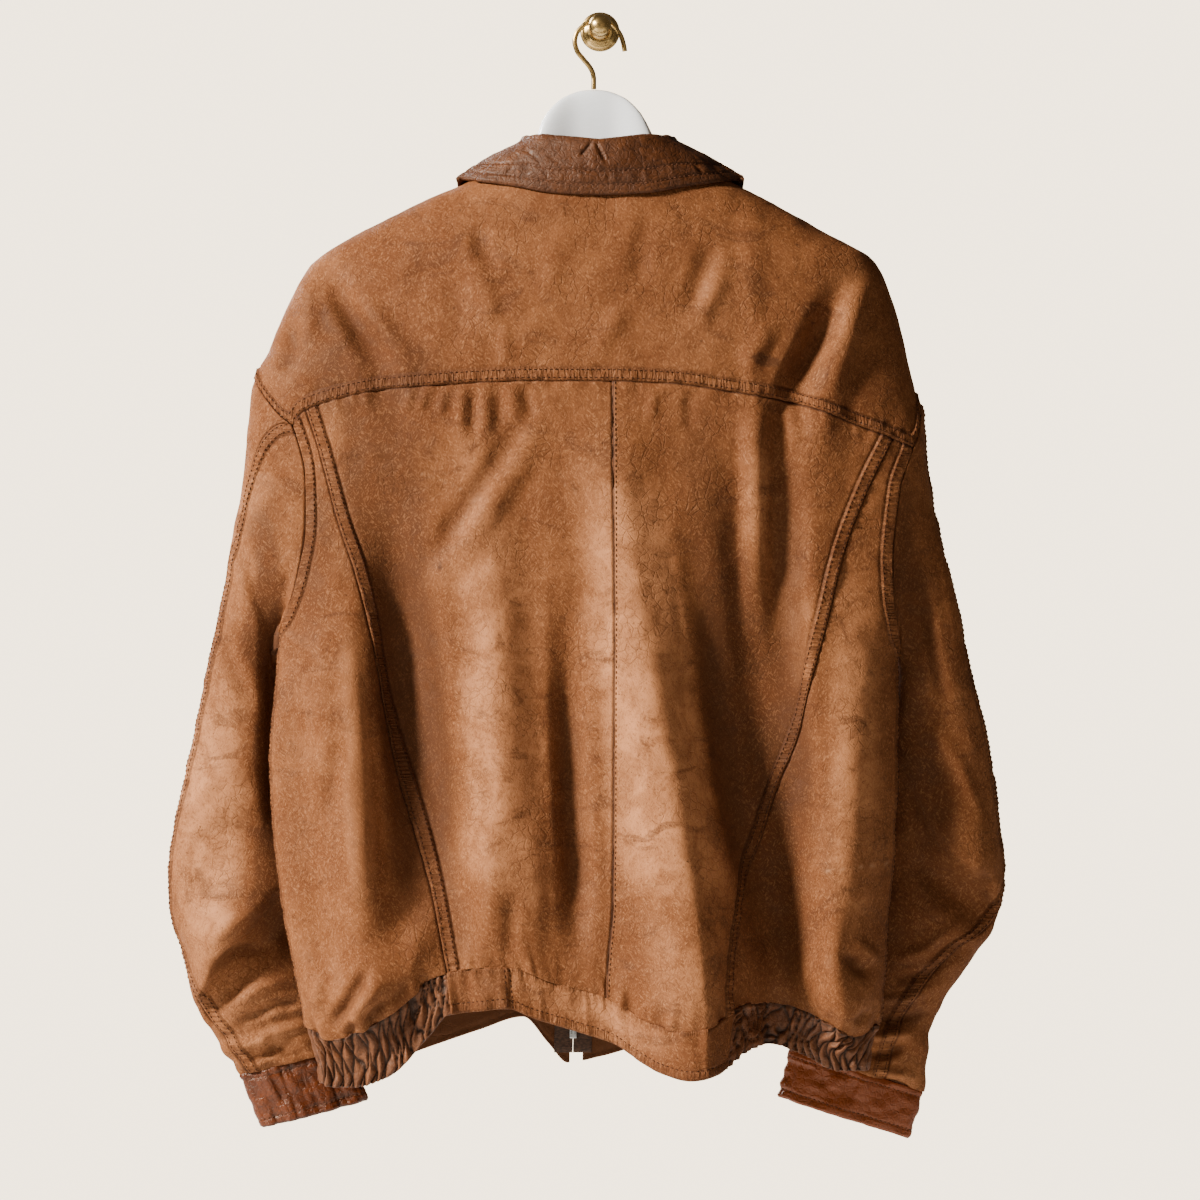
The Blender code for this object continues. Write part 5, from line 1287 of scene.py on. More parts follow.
def make_sleeve(side, hole, looks):
    """A sleeve's back and front pieces, with their stitches and the cuff below them."""
    sleeve = Sleeve(side, hole)
    halves = []
    for piece in ("back", "front"):
        cloth = sleeve_piece(sleeve, piece, *SLEEVE_GRID)
        mark_sleeve(cloth, side)
        tucked(cloth, cloth.top, cloth.left, 31)
        if piece == "back":
            felled(cloth, cloth.left, cloth.top, 37, height=0.0009)
            tucked(cloth, cloth.right, cloth.top, 41)
        else:
            tucked(cloth, cloth.right, cloth.top, 43)
            tucked(cloth, cloth.left, cloth.top, 47)
        gathered(cloth, cloth.bottom, cloth.left, 53, pitch=0.013, reach=0.030, height=0.0020)
        hang_cloth(f"sleeve_{side}_{piece}", cloth, looks["body"], step=1)
        halves.append(cloth)
        if piece == "back":
            rows = [row_beside(cloth, "left", distance) for distance in (NEAR_ROW, FAR_ROW)]
            stitches(f"sleeve_{side}_stitches", rows, looks["thread"])
    make_cuff(side, halves, looks)


def make_cuff(side, halves, looks):
    """The cuff, a band of shiny leather carried on from the sleeve's lower edge."""
    rows, columns = CUFF_GRID
    ring = np.concatenate([halves[0].points[-1], halves[1].points[-1][1:-1]])
    ways = np.concatenate([halves[0].ways[-1], halves[1].ways[-1][1:-1]])
    travel = travel_along(closed(ring))
    even = np.linspace(0, travel[-1], columns, endpoint=False)
    ring = at_travel(even, travel, closed(ring))
    ways = unit(at_travel(even, travel, closed(ways)))
    down = np.array(CUFFS[side]["down"])
    centre = ring.mean(axis=0)
    share = shares(rows, 0.55)[:, None, None]
    scale = mix(1.0, CUFFS[side]["narrowing"], share)
    points = centre + (ring - centre)[None] * scale + down * share
    points = points + unit(down) * SEAM_GAP / 2 * (share == 0)
    cloth = Cloth(points, np.broadcast_to(ways[None], points.shape).copy())
    turn = even[None] / travel[-1] * 2 * pi
    down_share = share[..., 0]
    around = np.stack([np.cos(turn) + 0 * down_share, np.sin(turn) + 0 * down_share,
                       0.0 * turn + down_share], axis=-1)
    long_folds = soft_noise(around * np.array([2.6, 2.6, 1.1]), 61)
    fine = soft_noise(around * np.array([9.0, 9.0, 2.2]), 67)
    crossing = soft_noise(around * np.array([3.4, 3.4, 7.0]), 71)
    sharp = 1 - np.abs(soft_noise(around * np.array([5.0, 5.0, 2.4]), 73)) ** 0.5
    cloth.relief += 0.0017 * long_folds + 0.0007 * fine + 0.0012 * crossing - 0.0012 * sharp
    cloth.relief -= 0.0007 * bell((cloth.top - CUFF_TOP_ROW) / 0.0016)
    cloth.relief -= 0.0007 * bell((cloth.bottom - CUFF_BOTTOM_ROW) / 0.0016)
    cloth.relief -= 0.0010 * ease(1 - cloth.bottom / 0.0016)
    cloth.relief -= 0.0006 * ease(1 - cloth.top / 0.0014)
    # Painted light: the right cuff, which the body shades, is painted paler, standing in for the
    # light and gloss it catches.
    if side == "right":
        cloth.tone += 0.70
    hang_cloth(f"cuff_{side}", cloth, looks["cuff"], thickness=RIB, ring=True)
    rows = [row_beside(cloth, "top", CUFF_TOP_ROW), row_beside(cloth, "bottom", CUFF_BOTTOM_ROW)]
    rows = [(closed(points), closed(directions)) for points, directions in rows]
    stitches(f"cuff_{side}_stitches", rows, looks["dark_thread"], pitch=0.0038)


# The body's panels.

# The back's panels from left to right: columns, then for the left and the right edge the height of
# the raised band, none where the edge is tucked under, the first seed, and the stitch rows.
BACK_PANELS = {
    "side_back_left": (70, (0.0006, None), 109, [("left", FAR_ROW)]),
    "back_left": (140, (0.0011, None), 101, [("left", NEAR_ROW), ("left", FAR_ROW)]),
    "back_right": (140, (None, 0.0011), 105,
                   [("left", CENTRE_ROW), ("right", NEAR_ROW), ("right", FAR_ROW)]),
    "side_back_right": (70, (None, 0.0006), 113, [("right", FAR_ROW)]),
}


def make_back(holes, looks):
    """The two backs and the two side backs. Gives their seams' feet and their outer corners."""
    downs = {
        "left": seam_down(LEFT_PRINCESS, LEFT_PRINCESS_TOP),
        "centre": seam_down(CENTRE_BACK, CENTRE_BACK_TOP),
        "right": seam_down(RIGHT_PRINCESS, RIGHT_PRINCESS_TOP),
    }
    first, last = np.array([0.0]), np.array([1.0])
    feet = {name: line(last)[0] for name, line in downs.items()}
    sides = {side: side_line(hole) for side, hole in holes.items()}
    ends = {side: line(last)[0] for side, line in sides.items()}
    outer = {side: joined(holes[side]["back"], sides[side]) for side in holes}
    edges = [outer["left"], *downs.values(), outer["right"]]
    tops = [holes["left"]["top"](last)[0], *(line(first)[0] for line in downs.values()),
            holes["right"]["top"](last)[0]]
    bottoms = [ends["left"], *feet.values(), ends["right"]]
    for index, (name, (columns, heights, seed, rows)) in enumerate(BACK_PANELS.items()):
        top = across(tops[index], tops[index + 1], yoke_drop)
        bottom = across(bottoms[index], bottoms[index + 1], waist_drop)
        grid = patch(top, bottom, edges[index], edges[index + 1], BACK_ROWS, columns)
        cloth = body_cloth(grid[..., 0], grid[..., 1])
        mark_body(cloth)
        tucked(cloth, cloth.top, cloth.left, 80 + index, pucker=0.0010)
        gathered(cloth, cloth.bottom, cloth.left, 90 + index)
        for shift, distance, height in zip((0, 2), (cloth.left, cloth.right), heights):
            if height is None:
                tucked(cloth, distance, cloth.top, seed + shift)
            else:
                felled(cloth, distance, cloth.top, seed + shift, height=height)
        hang_cloth(name, cloth, looks["body"])
        lines = [row_beside(cloth, edge, distance) for edge, distance in rows]
        stitches(f"{name}_stitches", lines, looks["thread"])
    return feet, ends


def make_yoke(holes, looks):
    """The yoke, over both shoulders from the back's seam to just in front of the crests."""
    left, right = holes["left"]["top"], holes["right"]["top"]
    corners = [line(np.array([1.0]))[0] for line in (left, right)]
    middle = across(*corners, yoke_drop)(np.linspace(0, 1, 400))
    places = np.concatenate([left(np.linspace(0, 1, 60)), middle[1:-1],
                             right(np.linspace(1, 0, 60))])
    travel = travel_along(body(places[:, 0], places[:, 1]))
    travel /= travel[-1]

    def bottom(share):
        return at_travel(share, travel, places)

    def top(share):
        turn = bottom(share)[:, 0]
        return np.stack([turn, neck_drop(turn)], axis=-1)

    def end(share_at):
        low = bottom(np.array([share_at]))[0]
        high = top(np.array([share_at]))[0]
        return lambda share: mix(high, low, share[:, None])

    grid = patch(top, bottom, end(0.0), end(1.0), *YOKE_GRID, hug=0.3)
    cloth = body_cloth(grid[..., 0], grid[..., 1])
    mark_body(cloth)
    felled(cloth, cloth.bottom, cloth.left, 121, height=0.0013, pucker=0.0009, rib=1)
    tucked(cloth, cloth.left, cloth.top, 123)
    tucked(cloth, cloth.right, cloth.top, 125)
    hang_cloth("back_yoke", cloth, looks["body"])
    rows = [row_beside(cloth, "bottom", distance) for distance in (NEAR_ROW, YOKE_FAR_ROW)]
    stitches("back_yoke_stitches", rows, looks["thread"])


def make_front(side, hole, looks):
    """A front, from its side seam to the zip. Gives its waist's two ends."""
    sign = hole["sign"]
    neck_turn = float(zip_edge(np.array([COLLAR_END_DROP]), sign)[0])
    neck = (neck_turn, float(neck_drop(np.array([neck_turn]))[0]))
    waist_turn = float(zip_edge(np.array([WAIST_START]), sign)[0])
    waist = (waist_turn, float(waist_drop(np.array([waist_turn]))[0]))
    side_seam = side_line(hole)
    shoulder = hole["top"](np.array([0.0]))[0]
    shoulder_neck = (shoulder[0], float(neck_drop(shoulder[:1])[0]))

    def shoulder_line(share):
        return np.stack([np.full_like(share, shoulder[0]),
                         mix(shoulder_neck[1], shoulder[1], share)], axis=-1)

    def inner(share):
        level = mix(neck[1], waist[1], share)
        places = np.stack([zip_edge(level, sign), level], axis=-1)
        places[0], places[-1] = neck, waist
        return places

    foot = side_seam(np.array([1.0]))[0]
    grid = patch(across(shoulder_neck, neck, neck_drop), across(foot, waist, waist_drop),
                 joined(shoulder_line, hole["front"], side_seam), inner, *FRONT_GRID)
    cloth = body_cloth(grid[..., 0], grid[..., 1])
    mark_body(cloth)
    tucked(cloth, cloth.left, cloth.top, 131)
    felled(cloth, cloth.right, cloth.top, 133, width=0.009, height=0.0006)
    gathered(cloth, cloth.bottom, cloth.left, 135)
    hang_cloth(f"front_{side}", cloth, looks["body"])
    rows = [row_beside(cloth, "right", distance) for distance in ZIP_ROWS]
    stitches(f"front_{side}_stitches", rows, looks["thread"])
    return foot, waist


def make_band(turns, rows, columns):
    """A stretch of waistband between the waist and the hem, over the given turns."""
    turn = np.interp(np.linspace(0, len(turns) - 1, columns), np.arange(len(turns)), turns)
    drop = mix(waist_drop(turn)[None], hem_drop(turn)[None], shares(rows, 0.6)[:, None])
    return body_cloth(turn[None] + 0 * drop, drop)


def mark_band(cloth, name, seed):
    """The plain waistband's gathers and ripples, and its paint made lighter or darker by piece and
    darker towards the lower edge.
    """
    cloth.relief += crumple(cloth.points, 141 + seed)
    gathered(cloth, cloth.top, cloth.left, 143 + seed, pitch=0.008, reach=0.026, height=0.0013)
    upright = noise_on(cloth.left / 0.0065, cloth.top / 0.030, 211 + seed)
    cloth.relief += 0.0010 * upright * np.abs(upright)
    here = cloth.left / cloth.left[:, -1:]
    if name == "waistband_back_left":
        cloth.relief += 0.0026 * noise_on(cloth.left / 0.0070, cloth.top / 0.04, 217)
        cloth.tone -= 0.60
    elif name == "waistband_back_right":
        cloth.tone += 0.35 + 0.35 * bell((here - 0.40) / 0.25) - 0.6 * ease((here - 0.62) / 0.3)
        cloth.tone -= 0.35 * ease((0.022 - cloth.bottom) / 0.02)
    else:
        cloth.tone += 0.15
    cloth.relief -= 0.0009 * ease(1 - cloth.bottom / 0.0018)
    cloth.relief -= 0.0006 * bell((cloth.bottom - BAND_ROW) / 0.0015)
    cloth.rib += 0.8 * ease((0.0085 - cloth.bottom) / 0.003)
    cloth.rib += 0.7 * ease((0.0060 - cloth.top) / 0.004)
    cloth.relief -= 0.0008 * ease(1 - cloth.top / 0.0016)


def make_waistband(feet, ends, waists, looks):
    """Plain pieces across the back and at the front ends, gathered pieces at the sides."""
    joint = mix(feet["left"][0], feet["centre"][0], BAND_JOINT_SHARE)
    pieces = {
        "waistband_back_left": ([feet["left"][0], joint], 110, [("right", CENTRE_ROW)]),
        "waistband_back_right": ([joint, feet["right"][0]], 240, [("left", NEAR_ROW)]),
    }
    splits = {side: mix(foot[0], waist[0], ELASTIC_SHARE) for side, (foot, waist) in waists.items()}
    for side in waists:
        pieces[f"waistband_front_{side}"] = ([splits[side], waists[side][1][0]], 150, [])
    for seed, (name, (turns, columns, rows)) in enumerate(pieces.items()):
        cloth = make_band(turns, BAND_ROWS, columns)
        mark_band(cloth, name, seed)
        hang_cloth(name, cloth, looks["band"])
        lines = [row_beside(cloth, *row) for row in [("bottom", BAND_ROW), *rows]]
        stitches(f"{name}_stitches", lines, looks["thread"])
    for seed, side in enumerate(waists):
        cloth = make_band([feet[side][0], ends[side][0], splits[side]], *ELASTIC_GRID)
        gather_elastic(cloth, 151 + 10 * seed)
        hang_cloth(f"waistband_{side}", cloth, looks["elastic"])


def gather_elastic(cloth, seed):
    """Long puffs in offset rows, with painted shade in the gaps where threads draw the leather
    together.
    """
    down = cloth.top / (cloth.top + cloth.bottom)
    along = cloth.left[len(down) // 2][None] + 0 * down
    warp = 0.75 * noise_on(along / 0.024, down * 1.6, seed)
    warp += 0.34 * noise_on(along / 0.008, down * 3.4, seed + 1)
    level = 2.3 * down + 0.25 * noise_on(along / 0.018, 0 * down, seed + 2)
    first = np.abs(np.sin(pi * (along / PUFF_PITCH + warp + 0.50 * level)))
    second = np.abs(np.sin(pi * (along / PUFF_PITCH + warp - 0.50 * level)))
    gap = np.minimum(first, second)
    size = 0.75 + 0.35 * noise_on(along / 0.011, down * 3.0, seed + 3)
    puff = np.clip(gap, 0, 1) ** 0.55 * size
    creased = noise_on(along / 0.0032, down * 3.4, seed + 4)
    cloth.relief += 0.0062 * (puff - 0.45) + 0.0005 * creased
    inside = ease(np.minimum(cloth.left, cloth.right) / 0.004)
    cloth.relief *= inside
    cloth.relief -= 0.0012 * ease(1 - cloth.top / 0.003)
    # Painted shade in the gaps between the puffs; the top edge is painted darker too.
    cloth.stain += 1.0 * ease((0.42 - gap) / 0.40) * inside
    cloth.stain += 0.6 * ease(1 - cloth.top / 0.004)


# The collar.

def fall_edge(turn):
    size = np.abs(turn)
    sign = np.where(turn < 0, -1.0, 1.0)
    x = sign * smooth(FALL_EDGE_X, size)
    drop = smooth(FALL_EDGE_DROP, size)
    place = turn_at(x, drop)
    crest = sign * mix(0.80, 1.0, ease((np.abs(x) - CREST_START) / CREST_WIDTH))
    place = np.where(np.abs(x) > CREST_START, crest, place)
    place = np.where(size <= 1, place, 2 * sign - turn_at(x, drop))
    point = body(place, drop)
    way = body_normal(place, drop)
    base = np.stack([x, point[..., 1], -drop], axis=-1)
    return base + way * (COLLAR_HALF + FALL_LIFT)


def clear_of_body(point, turn):
    """The points, moved off the back or front of the body where they would come too near."""
    drop = -point[..., 2]
    free = (drop < NECK[0][1]) | (np.abs(np.abs(turn) - 1) < 0.12)
    place = turn_at(point[..., 0], drop)
    behind = body(place, drop)[..., 1] - COLLAR_HALF - FALL_LIFT
    sign = np.where(turn > 0, 1.0, -1.0)
    before = body(2 * sign - place, drop)[..., 1] + COLLAR_HALF + FALL_LIFT
    moved = np.where(np.abs(turn) < 1, np.minimum(point[..., 1], behind),
                     np.maximum(point[..., 1], before))
    point = point.copy()
    point[..., 1] = np.where(free, point[..., 1], moved)
    return point


def collar_rows(turn):
    """The collar's control rows over its turns: up from the neck seam, over the roll, down."""
    neck = neck_drop(turn)
    seam = body(turn, neck)
    way = body_normal(turn, neck)
    upward = unit(seam - body(turn, neck + 0.004))
    start = seam - way * LEATHER / 2 + upward * SEAM_GAP
    facing = np.cos(turn * QUARTER_TURN)
    depth = np.where(facing >= 0, ROLL_BACK, ROLL_FRONT)
    out_y = np.where(facing >= 0, -ROLL_BACK * facing,
                     ROLL_FRONT * np.maximum(-facing, 0) ** ROLL_FRONT_POWER)
    out = np.stack([ROLL_HALF_WIDTH * np.sin(turn * QUARTER_TURN), out_y, 0 * turn], axis=-1)
    roll = out + np.stack([ROLL_MIDDLE[0] + 0 * turn, ROLL_MIDDLE[1] + 0 * turn,
                           -smooth(ROLL_DROP, np.abs(turn))], axis=-1)
    outward = unit(np.stack([out[:, 0] / ROLL_HALF_WIDTH ** 2, out[:, 1] / depth ** 2,
                             0 * turn], axis=-1))
    edge = fall_edge(turn)
    radius = smooth(ROLL_RADIUS, np.abs(turn))[:, None]
    up = np.array([0.0, 0.0, 1.0])
    inner_top = roll - outward * radius - up * radius
    outer_top = roll + outward * radius - up * radius
    rows = [start, mix(start, inner_top, 0.5), inner_top, roll]
    slope = unit(edge - outer_top)
    lifted = unit(np.cross(slope, np.cross(slope, up + outward)))
    wrong = (lifted * (outward + up)).sum(axis=-1, keepdims=True) < 0
    lifted = np.where(wrong, -lifted, lifted)
    for row in range(FALL_ROWS + 1):
        share = row / FALL_ROWS
        bulge = (smooth(FALL_BULGE, np.abs(turn)) * sin(pi * share))[:, None]
        rows.append(clear_of_body(mix(outer_top, edge, share) + lifted * bulge, turn))
    return np.array(rows)


def curve_through(controls, count):
    """A fine grid on smooth curves through the rows of control points."""
    last = len(controls) - 1
    fine = np.linspace(0, last, count)
    index = np.clip(np.floor(fine).astype(int), 0, last - 1)
    part = (fine - index)[:, None, None]
    before = controls[np.maximum(index - 1, 0)]
    start, end = controls[index], controls[index + 1]
    after = controls[np.minimum(index + 2, last)]
    return 0.5 * (2 * start + (end - before) * part
                  + (2 * before - 5 * start + 4 * end - after) * part ** 2
                  + (3 * start - before - 3 * end + after) * part ** 3)


def make_collar(looks):
    """A worn, wrinkled collar of dark smooth leather, turned down over the yoke."""
    rows, columns = COLLAR_GRID
    ends = [float(zip_edge(np.array([COLLAR_END_DROP]), sign)[0]) for sign in (-1, 1)]
    turn = np.linspace(*ends, columns)
    points = curve_through(collar_rows(turn), rows)
    ways = unit(np.cross(np.gradient(points, axis=0), np.gradient(points, axis=1)))
    for _ in range(WAYS_STEPS):
        ways[1:-1, 1:-1] = unit(ways[1:-1, 1:-1] * 2 + ways[:-2, 1:-1] + ways[2:, 1:-1]
                                + ways[1:-1, :-2] + ways[1:-1, 2:])
    if ways[WAYS_ROW, columns // 2, 1] > 0:
        ways = -ways
    cloth = Cloth(points, ways)
    along, away = turn[None] * COLLAR_PER_TURN + 0 * cloth.left, cloth.bottom
    fall = ease((cloth.top - 0.022) / 0.012)
    noise = noise_on(along / 0.034, away / 0.016, 171)
    noise += 0.5 * noise_on(along / 0.012, away / 0.009, 173)
    noise -= 0.7 * (1 - np.abs(noise_on(along / 0.020, away / 0.011, 175)) ** 0.5)
    noise -= 0.5 * (1 - np.abs(noise_on(along / 0.009, away / 0.007, 176)) ** 0.5)
    cloth.relief += 0.0007 * noise * fall
    between = bell((away - 0.0135) / 0.0065)
    cloth.relief += 0.0009 * noise_on(along / 0.0036, away / 0.020, 177) * between
    for row in COLLAR_ROWS:
        cloth.relief -= 0.0008 * bell((away - row) / 0.0016)
    cloth.relief -= 0.0010 * ease(1 - away / 0.0016)
    behind = ease(-ways[..., 1] / 0.3)
    cloth.relief += creases_at(COLLAR_CREASES, points[..., 0], -points[..., 2]) * behind
    for end in (cloth.left, cloth.right):
        cloth.relief *= ease(end / 0.004)
    cloth.relief += COLLAR_HALF
    hang_cloth("collar", cloth, looks["collar"], thickness=2 * COLLAR_HALF)
    rows = [row_beside(cloth, "bottom", distance) for distance in COLLAR_ROWS]
    stitches("collar_stitches", rows, looks["dark_thread"], pitch=0.0040)


# Zip, hanger, hook and knob.

def zip_place(offset, drop, sign):
    turn = turn_at(smooth(ZIP_LINE, drop) + offset, drop, sign)
    return body(turn, drop), body_normal(turn, drop)


def make_zip(looks):
    """Woven tapes behind the fronts' edges."""
    rows, columns = TAPE_GRID
    for side, sign in (("left", -1), ("right", 1)):
        drop = np.linspace(TAPE_TOP, TAPE_BOTTOM, rows)[:, None]
        offsets = sign * np.linspace(TAPE_INNER, TAPE_OUTER, columns)[None]
        points, ways = zip_place(offsets + 0 * drop, drop + 0 * offsets, sign)
        cloth = Cloth(points - ways * TAPE_DEPTH, ways)
        cord = bell((np.abs(offsets) - 0.0030) / 0.0012)
        weave = np.sin(drop / 0.0011 * 2 * pi)
        cloth.relief += 0.0004 * cord + 0.00006 * weave * (1 + 0 * offsets)
        hang_cloth(f"zip_tape_{side}", cloth, looks["tape"], thickness=TAPE_THICKNESS)


def make_teeth(looks):
    """Two rows of metal teeth that meet between the tapes. Each swells, then narrows outwards."""
    first_drop = SLIDER_DROP + TEETH_BELOW_SLIDER
    count = int((ZIP_BOX_DROP - TEETH_ABOVE_BOX - SLIDER_DROP - TEETH_BELOW_SLIDER) / TOOTH_PITCH)
    sections = ((-0.0009, 0.8), (TOOTH_LENGTH * 0.45, 1.0), (TOOTH_LENGTH, 0.55))
    vertices, faces = [], []
    for sign in (-1, 1):
        aside = np.array([sign, 0.0, 0.0])
        for index in range(count):
            drop = np.array([first_drop + TOOTH_PITCH * (index + (0.5 if sign > 0 else 0.0))])
            point, way = zip_place(np.array([sign * 0.0001]), drop, sign)
            point, way = point[0] - way[0] * (TAPE_DEPTH - 0.0007), way[0]
            start = len(vertices)
            for (reach, size), depth, level in product(sections, (-0.5, 0.5), (-0.5, 0.5)):
                vertices.append(point + aside * reach + way * TOOTH_DEPTH * depth * size
                                + np.array([0, 0, TOOTH_HEIGHT * level * size]))
            for a in (start, start + 4):
                faces += [(a, a + 1, a + 5, a + 4), (a + 2, a + 6, a + 7, a + 3),
                          (a, a + 4, a + 6, a + 2), (a + 1, a + 3, a + 7, a + 5)]
            faces += [(start, start + 2, start + 3, start + 1),
                      (start + 8, start + 9, start + 11, start + 10)]
    mesh = make_mesh("zip_teeth", vertices, faces, rounded=False)
    item = add_piece("zip_teeth", mesh, looks["metal"])
    bevel = item.modifiers.new("Rounding", "BEVEL")
    bevel.width = TOOTH_ROUNDING
    bevel.segments = 1


def make_hanger(looks):
    """The white hanger: a domed neck between two arms that follow the shoulders."""
    columns, sides = HANGER_GRID
    crests = [(x, drop) for drop, x in reversed(LEFT_SIDE[1:7])]
    crests += [(x, drop) for drop, x in RIGHT_SIDE[1:7]]
    lift = (LEATHER + HANGER_CLEARANCE) * 1.25
    outline = [(x, drop + lift) for x, drop in crests if 0.10 < abs(x) < 0.205]
    outline = sorted(outline + HANGER_TOP)
    x = mix(outline[0][0], outline[-1][0], shares(columns, 0.5))
    top = smooth(outline, x)
    share = np.abs(x - HANGER_MIDDLE) / HANGER_REACH
    height = mix(0.080, 0.030, ease(share / 0.35)) * (1 - np.minimum(share, 1) ** 10) ** 0.5 + 0.002
    half = mix(0.0058, 0.009, ease((share - 0.3) / 0.3)) * (1 - 0.75 * share ** 8)
    centre = mix(HOOK_PLANE, HANGER_ARM_PLANE, ease((share - 0.05) / 0.15))
    angle = np.linspace(0, 2 * pi, sides, endpoint=False)[None]
    y = centre[:, None] + half[:, None] * signed_power(np.sin(angle), 0.8)
    z = (-(top + height / 2))[:, None] + (height / 2)[:, None] * signed_power(np.cos(angle), 0.9)
    points = np.stack([x[:, None] + 0 * angle, y, z], axis=-1)
    numbers = np.arange(columns * sides).reshape(-1, sides)
    faces = strip_quads(list(numbers), True, False).tolist()
    faces += [numbers[0].tolist(), numbers[-1][::-1].tolist()]
    item = add_piece("hanger_body", make_mesh("hanger", points, faces), looks["hanger"])
    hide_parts("hanger")


def make_hook(looks):
    """The wire hook, from the hanger's neck over the knob."""
    route = np.array(HOOK_ROUTE)
    curve = bpy.data.curves.new("hook_wire", "CURVE")
    curve.dimensions = "3D"
    curve.bevel_depth = WIRE_RADIUS
    curve.bevel_resolution = 5
    curve.use_fill_caps = True
    travel = travel_along(route)
    fine = np.linspace(0, travel[-1], 90)
    spline = curve.splines.new("POLY")
    spline.points.add(len(fine) - 1)
    xs, zs = [smooth(list(zip(travel, column)), fine) for column in route.T]
    for point, x, z in zip(spline.points, xs, zs):
        point.co = (x, HOOK_PLANE, z, 1.0)
    item = add_piece("hook_wire", curve, looks["brass"])
    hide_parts("hanger_hook")


def turned_piece(name, node, profile, material):
    """A turned solid whose axis runs from the wall towards the room. Profile: radius, reach."""
    profile = np.array(profile)
    travel = travel_along(profile)
    fine = np.unique(np.concatenate([travel, np.linspace(0, travel[-1], 40)]))
    radius, reach = at_travel(fine, travel, profile).T[..., None]
    angle = np.linspace(0, 2 * pi, TURNED_SIDES, endpoint=False)[None]
    points = np.stack([radius * np.cos(angle), -reach + 0 * angle, radius * np.sin(angle)],
                      axis=-1)
    numbers = np.arange(len(fine) * TURNED_SIDES).reshape(-1, TURNED_SIDES)
    mesh = make_mesh(name, points, strip_quads(list(numbers), True, False).tolist())
    item = add_piece(name, mesh, material)
    weld = item.modifiers.new("Middle", "WELD")
    weld.merge_threshold = 0.00001
    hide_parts(node)


def make_knob(looks):
    """The stepped rosette, and the stem and ball that the hook hangs over."""
    turned_piece("rosette", "wall_rosette", ROSETTE_PROFILE, looks["brass"])
    ball = []
    steps = 4 * BALL_STEPS
    for step in range(steps + 1):
        angle = BALL_ARC * step / steps
        ball.append((BALL_RADIUS * sin(angle), BALL_REACH + BALL_RADIUS * cos(angle)))
    neck = (KNOB_NECK_RADIUS, BALL_REACH - BALL_RADIUS - 0.0002)
    turned_piece("knob", "wall_knob", ball + [neck] + STEM_PROFILE, looks["brass"])


# Materials.

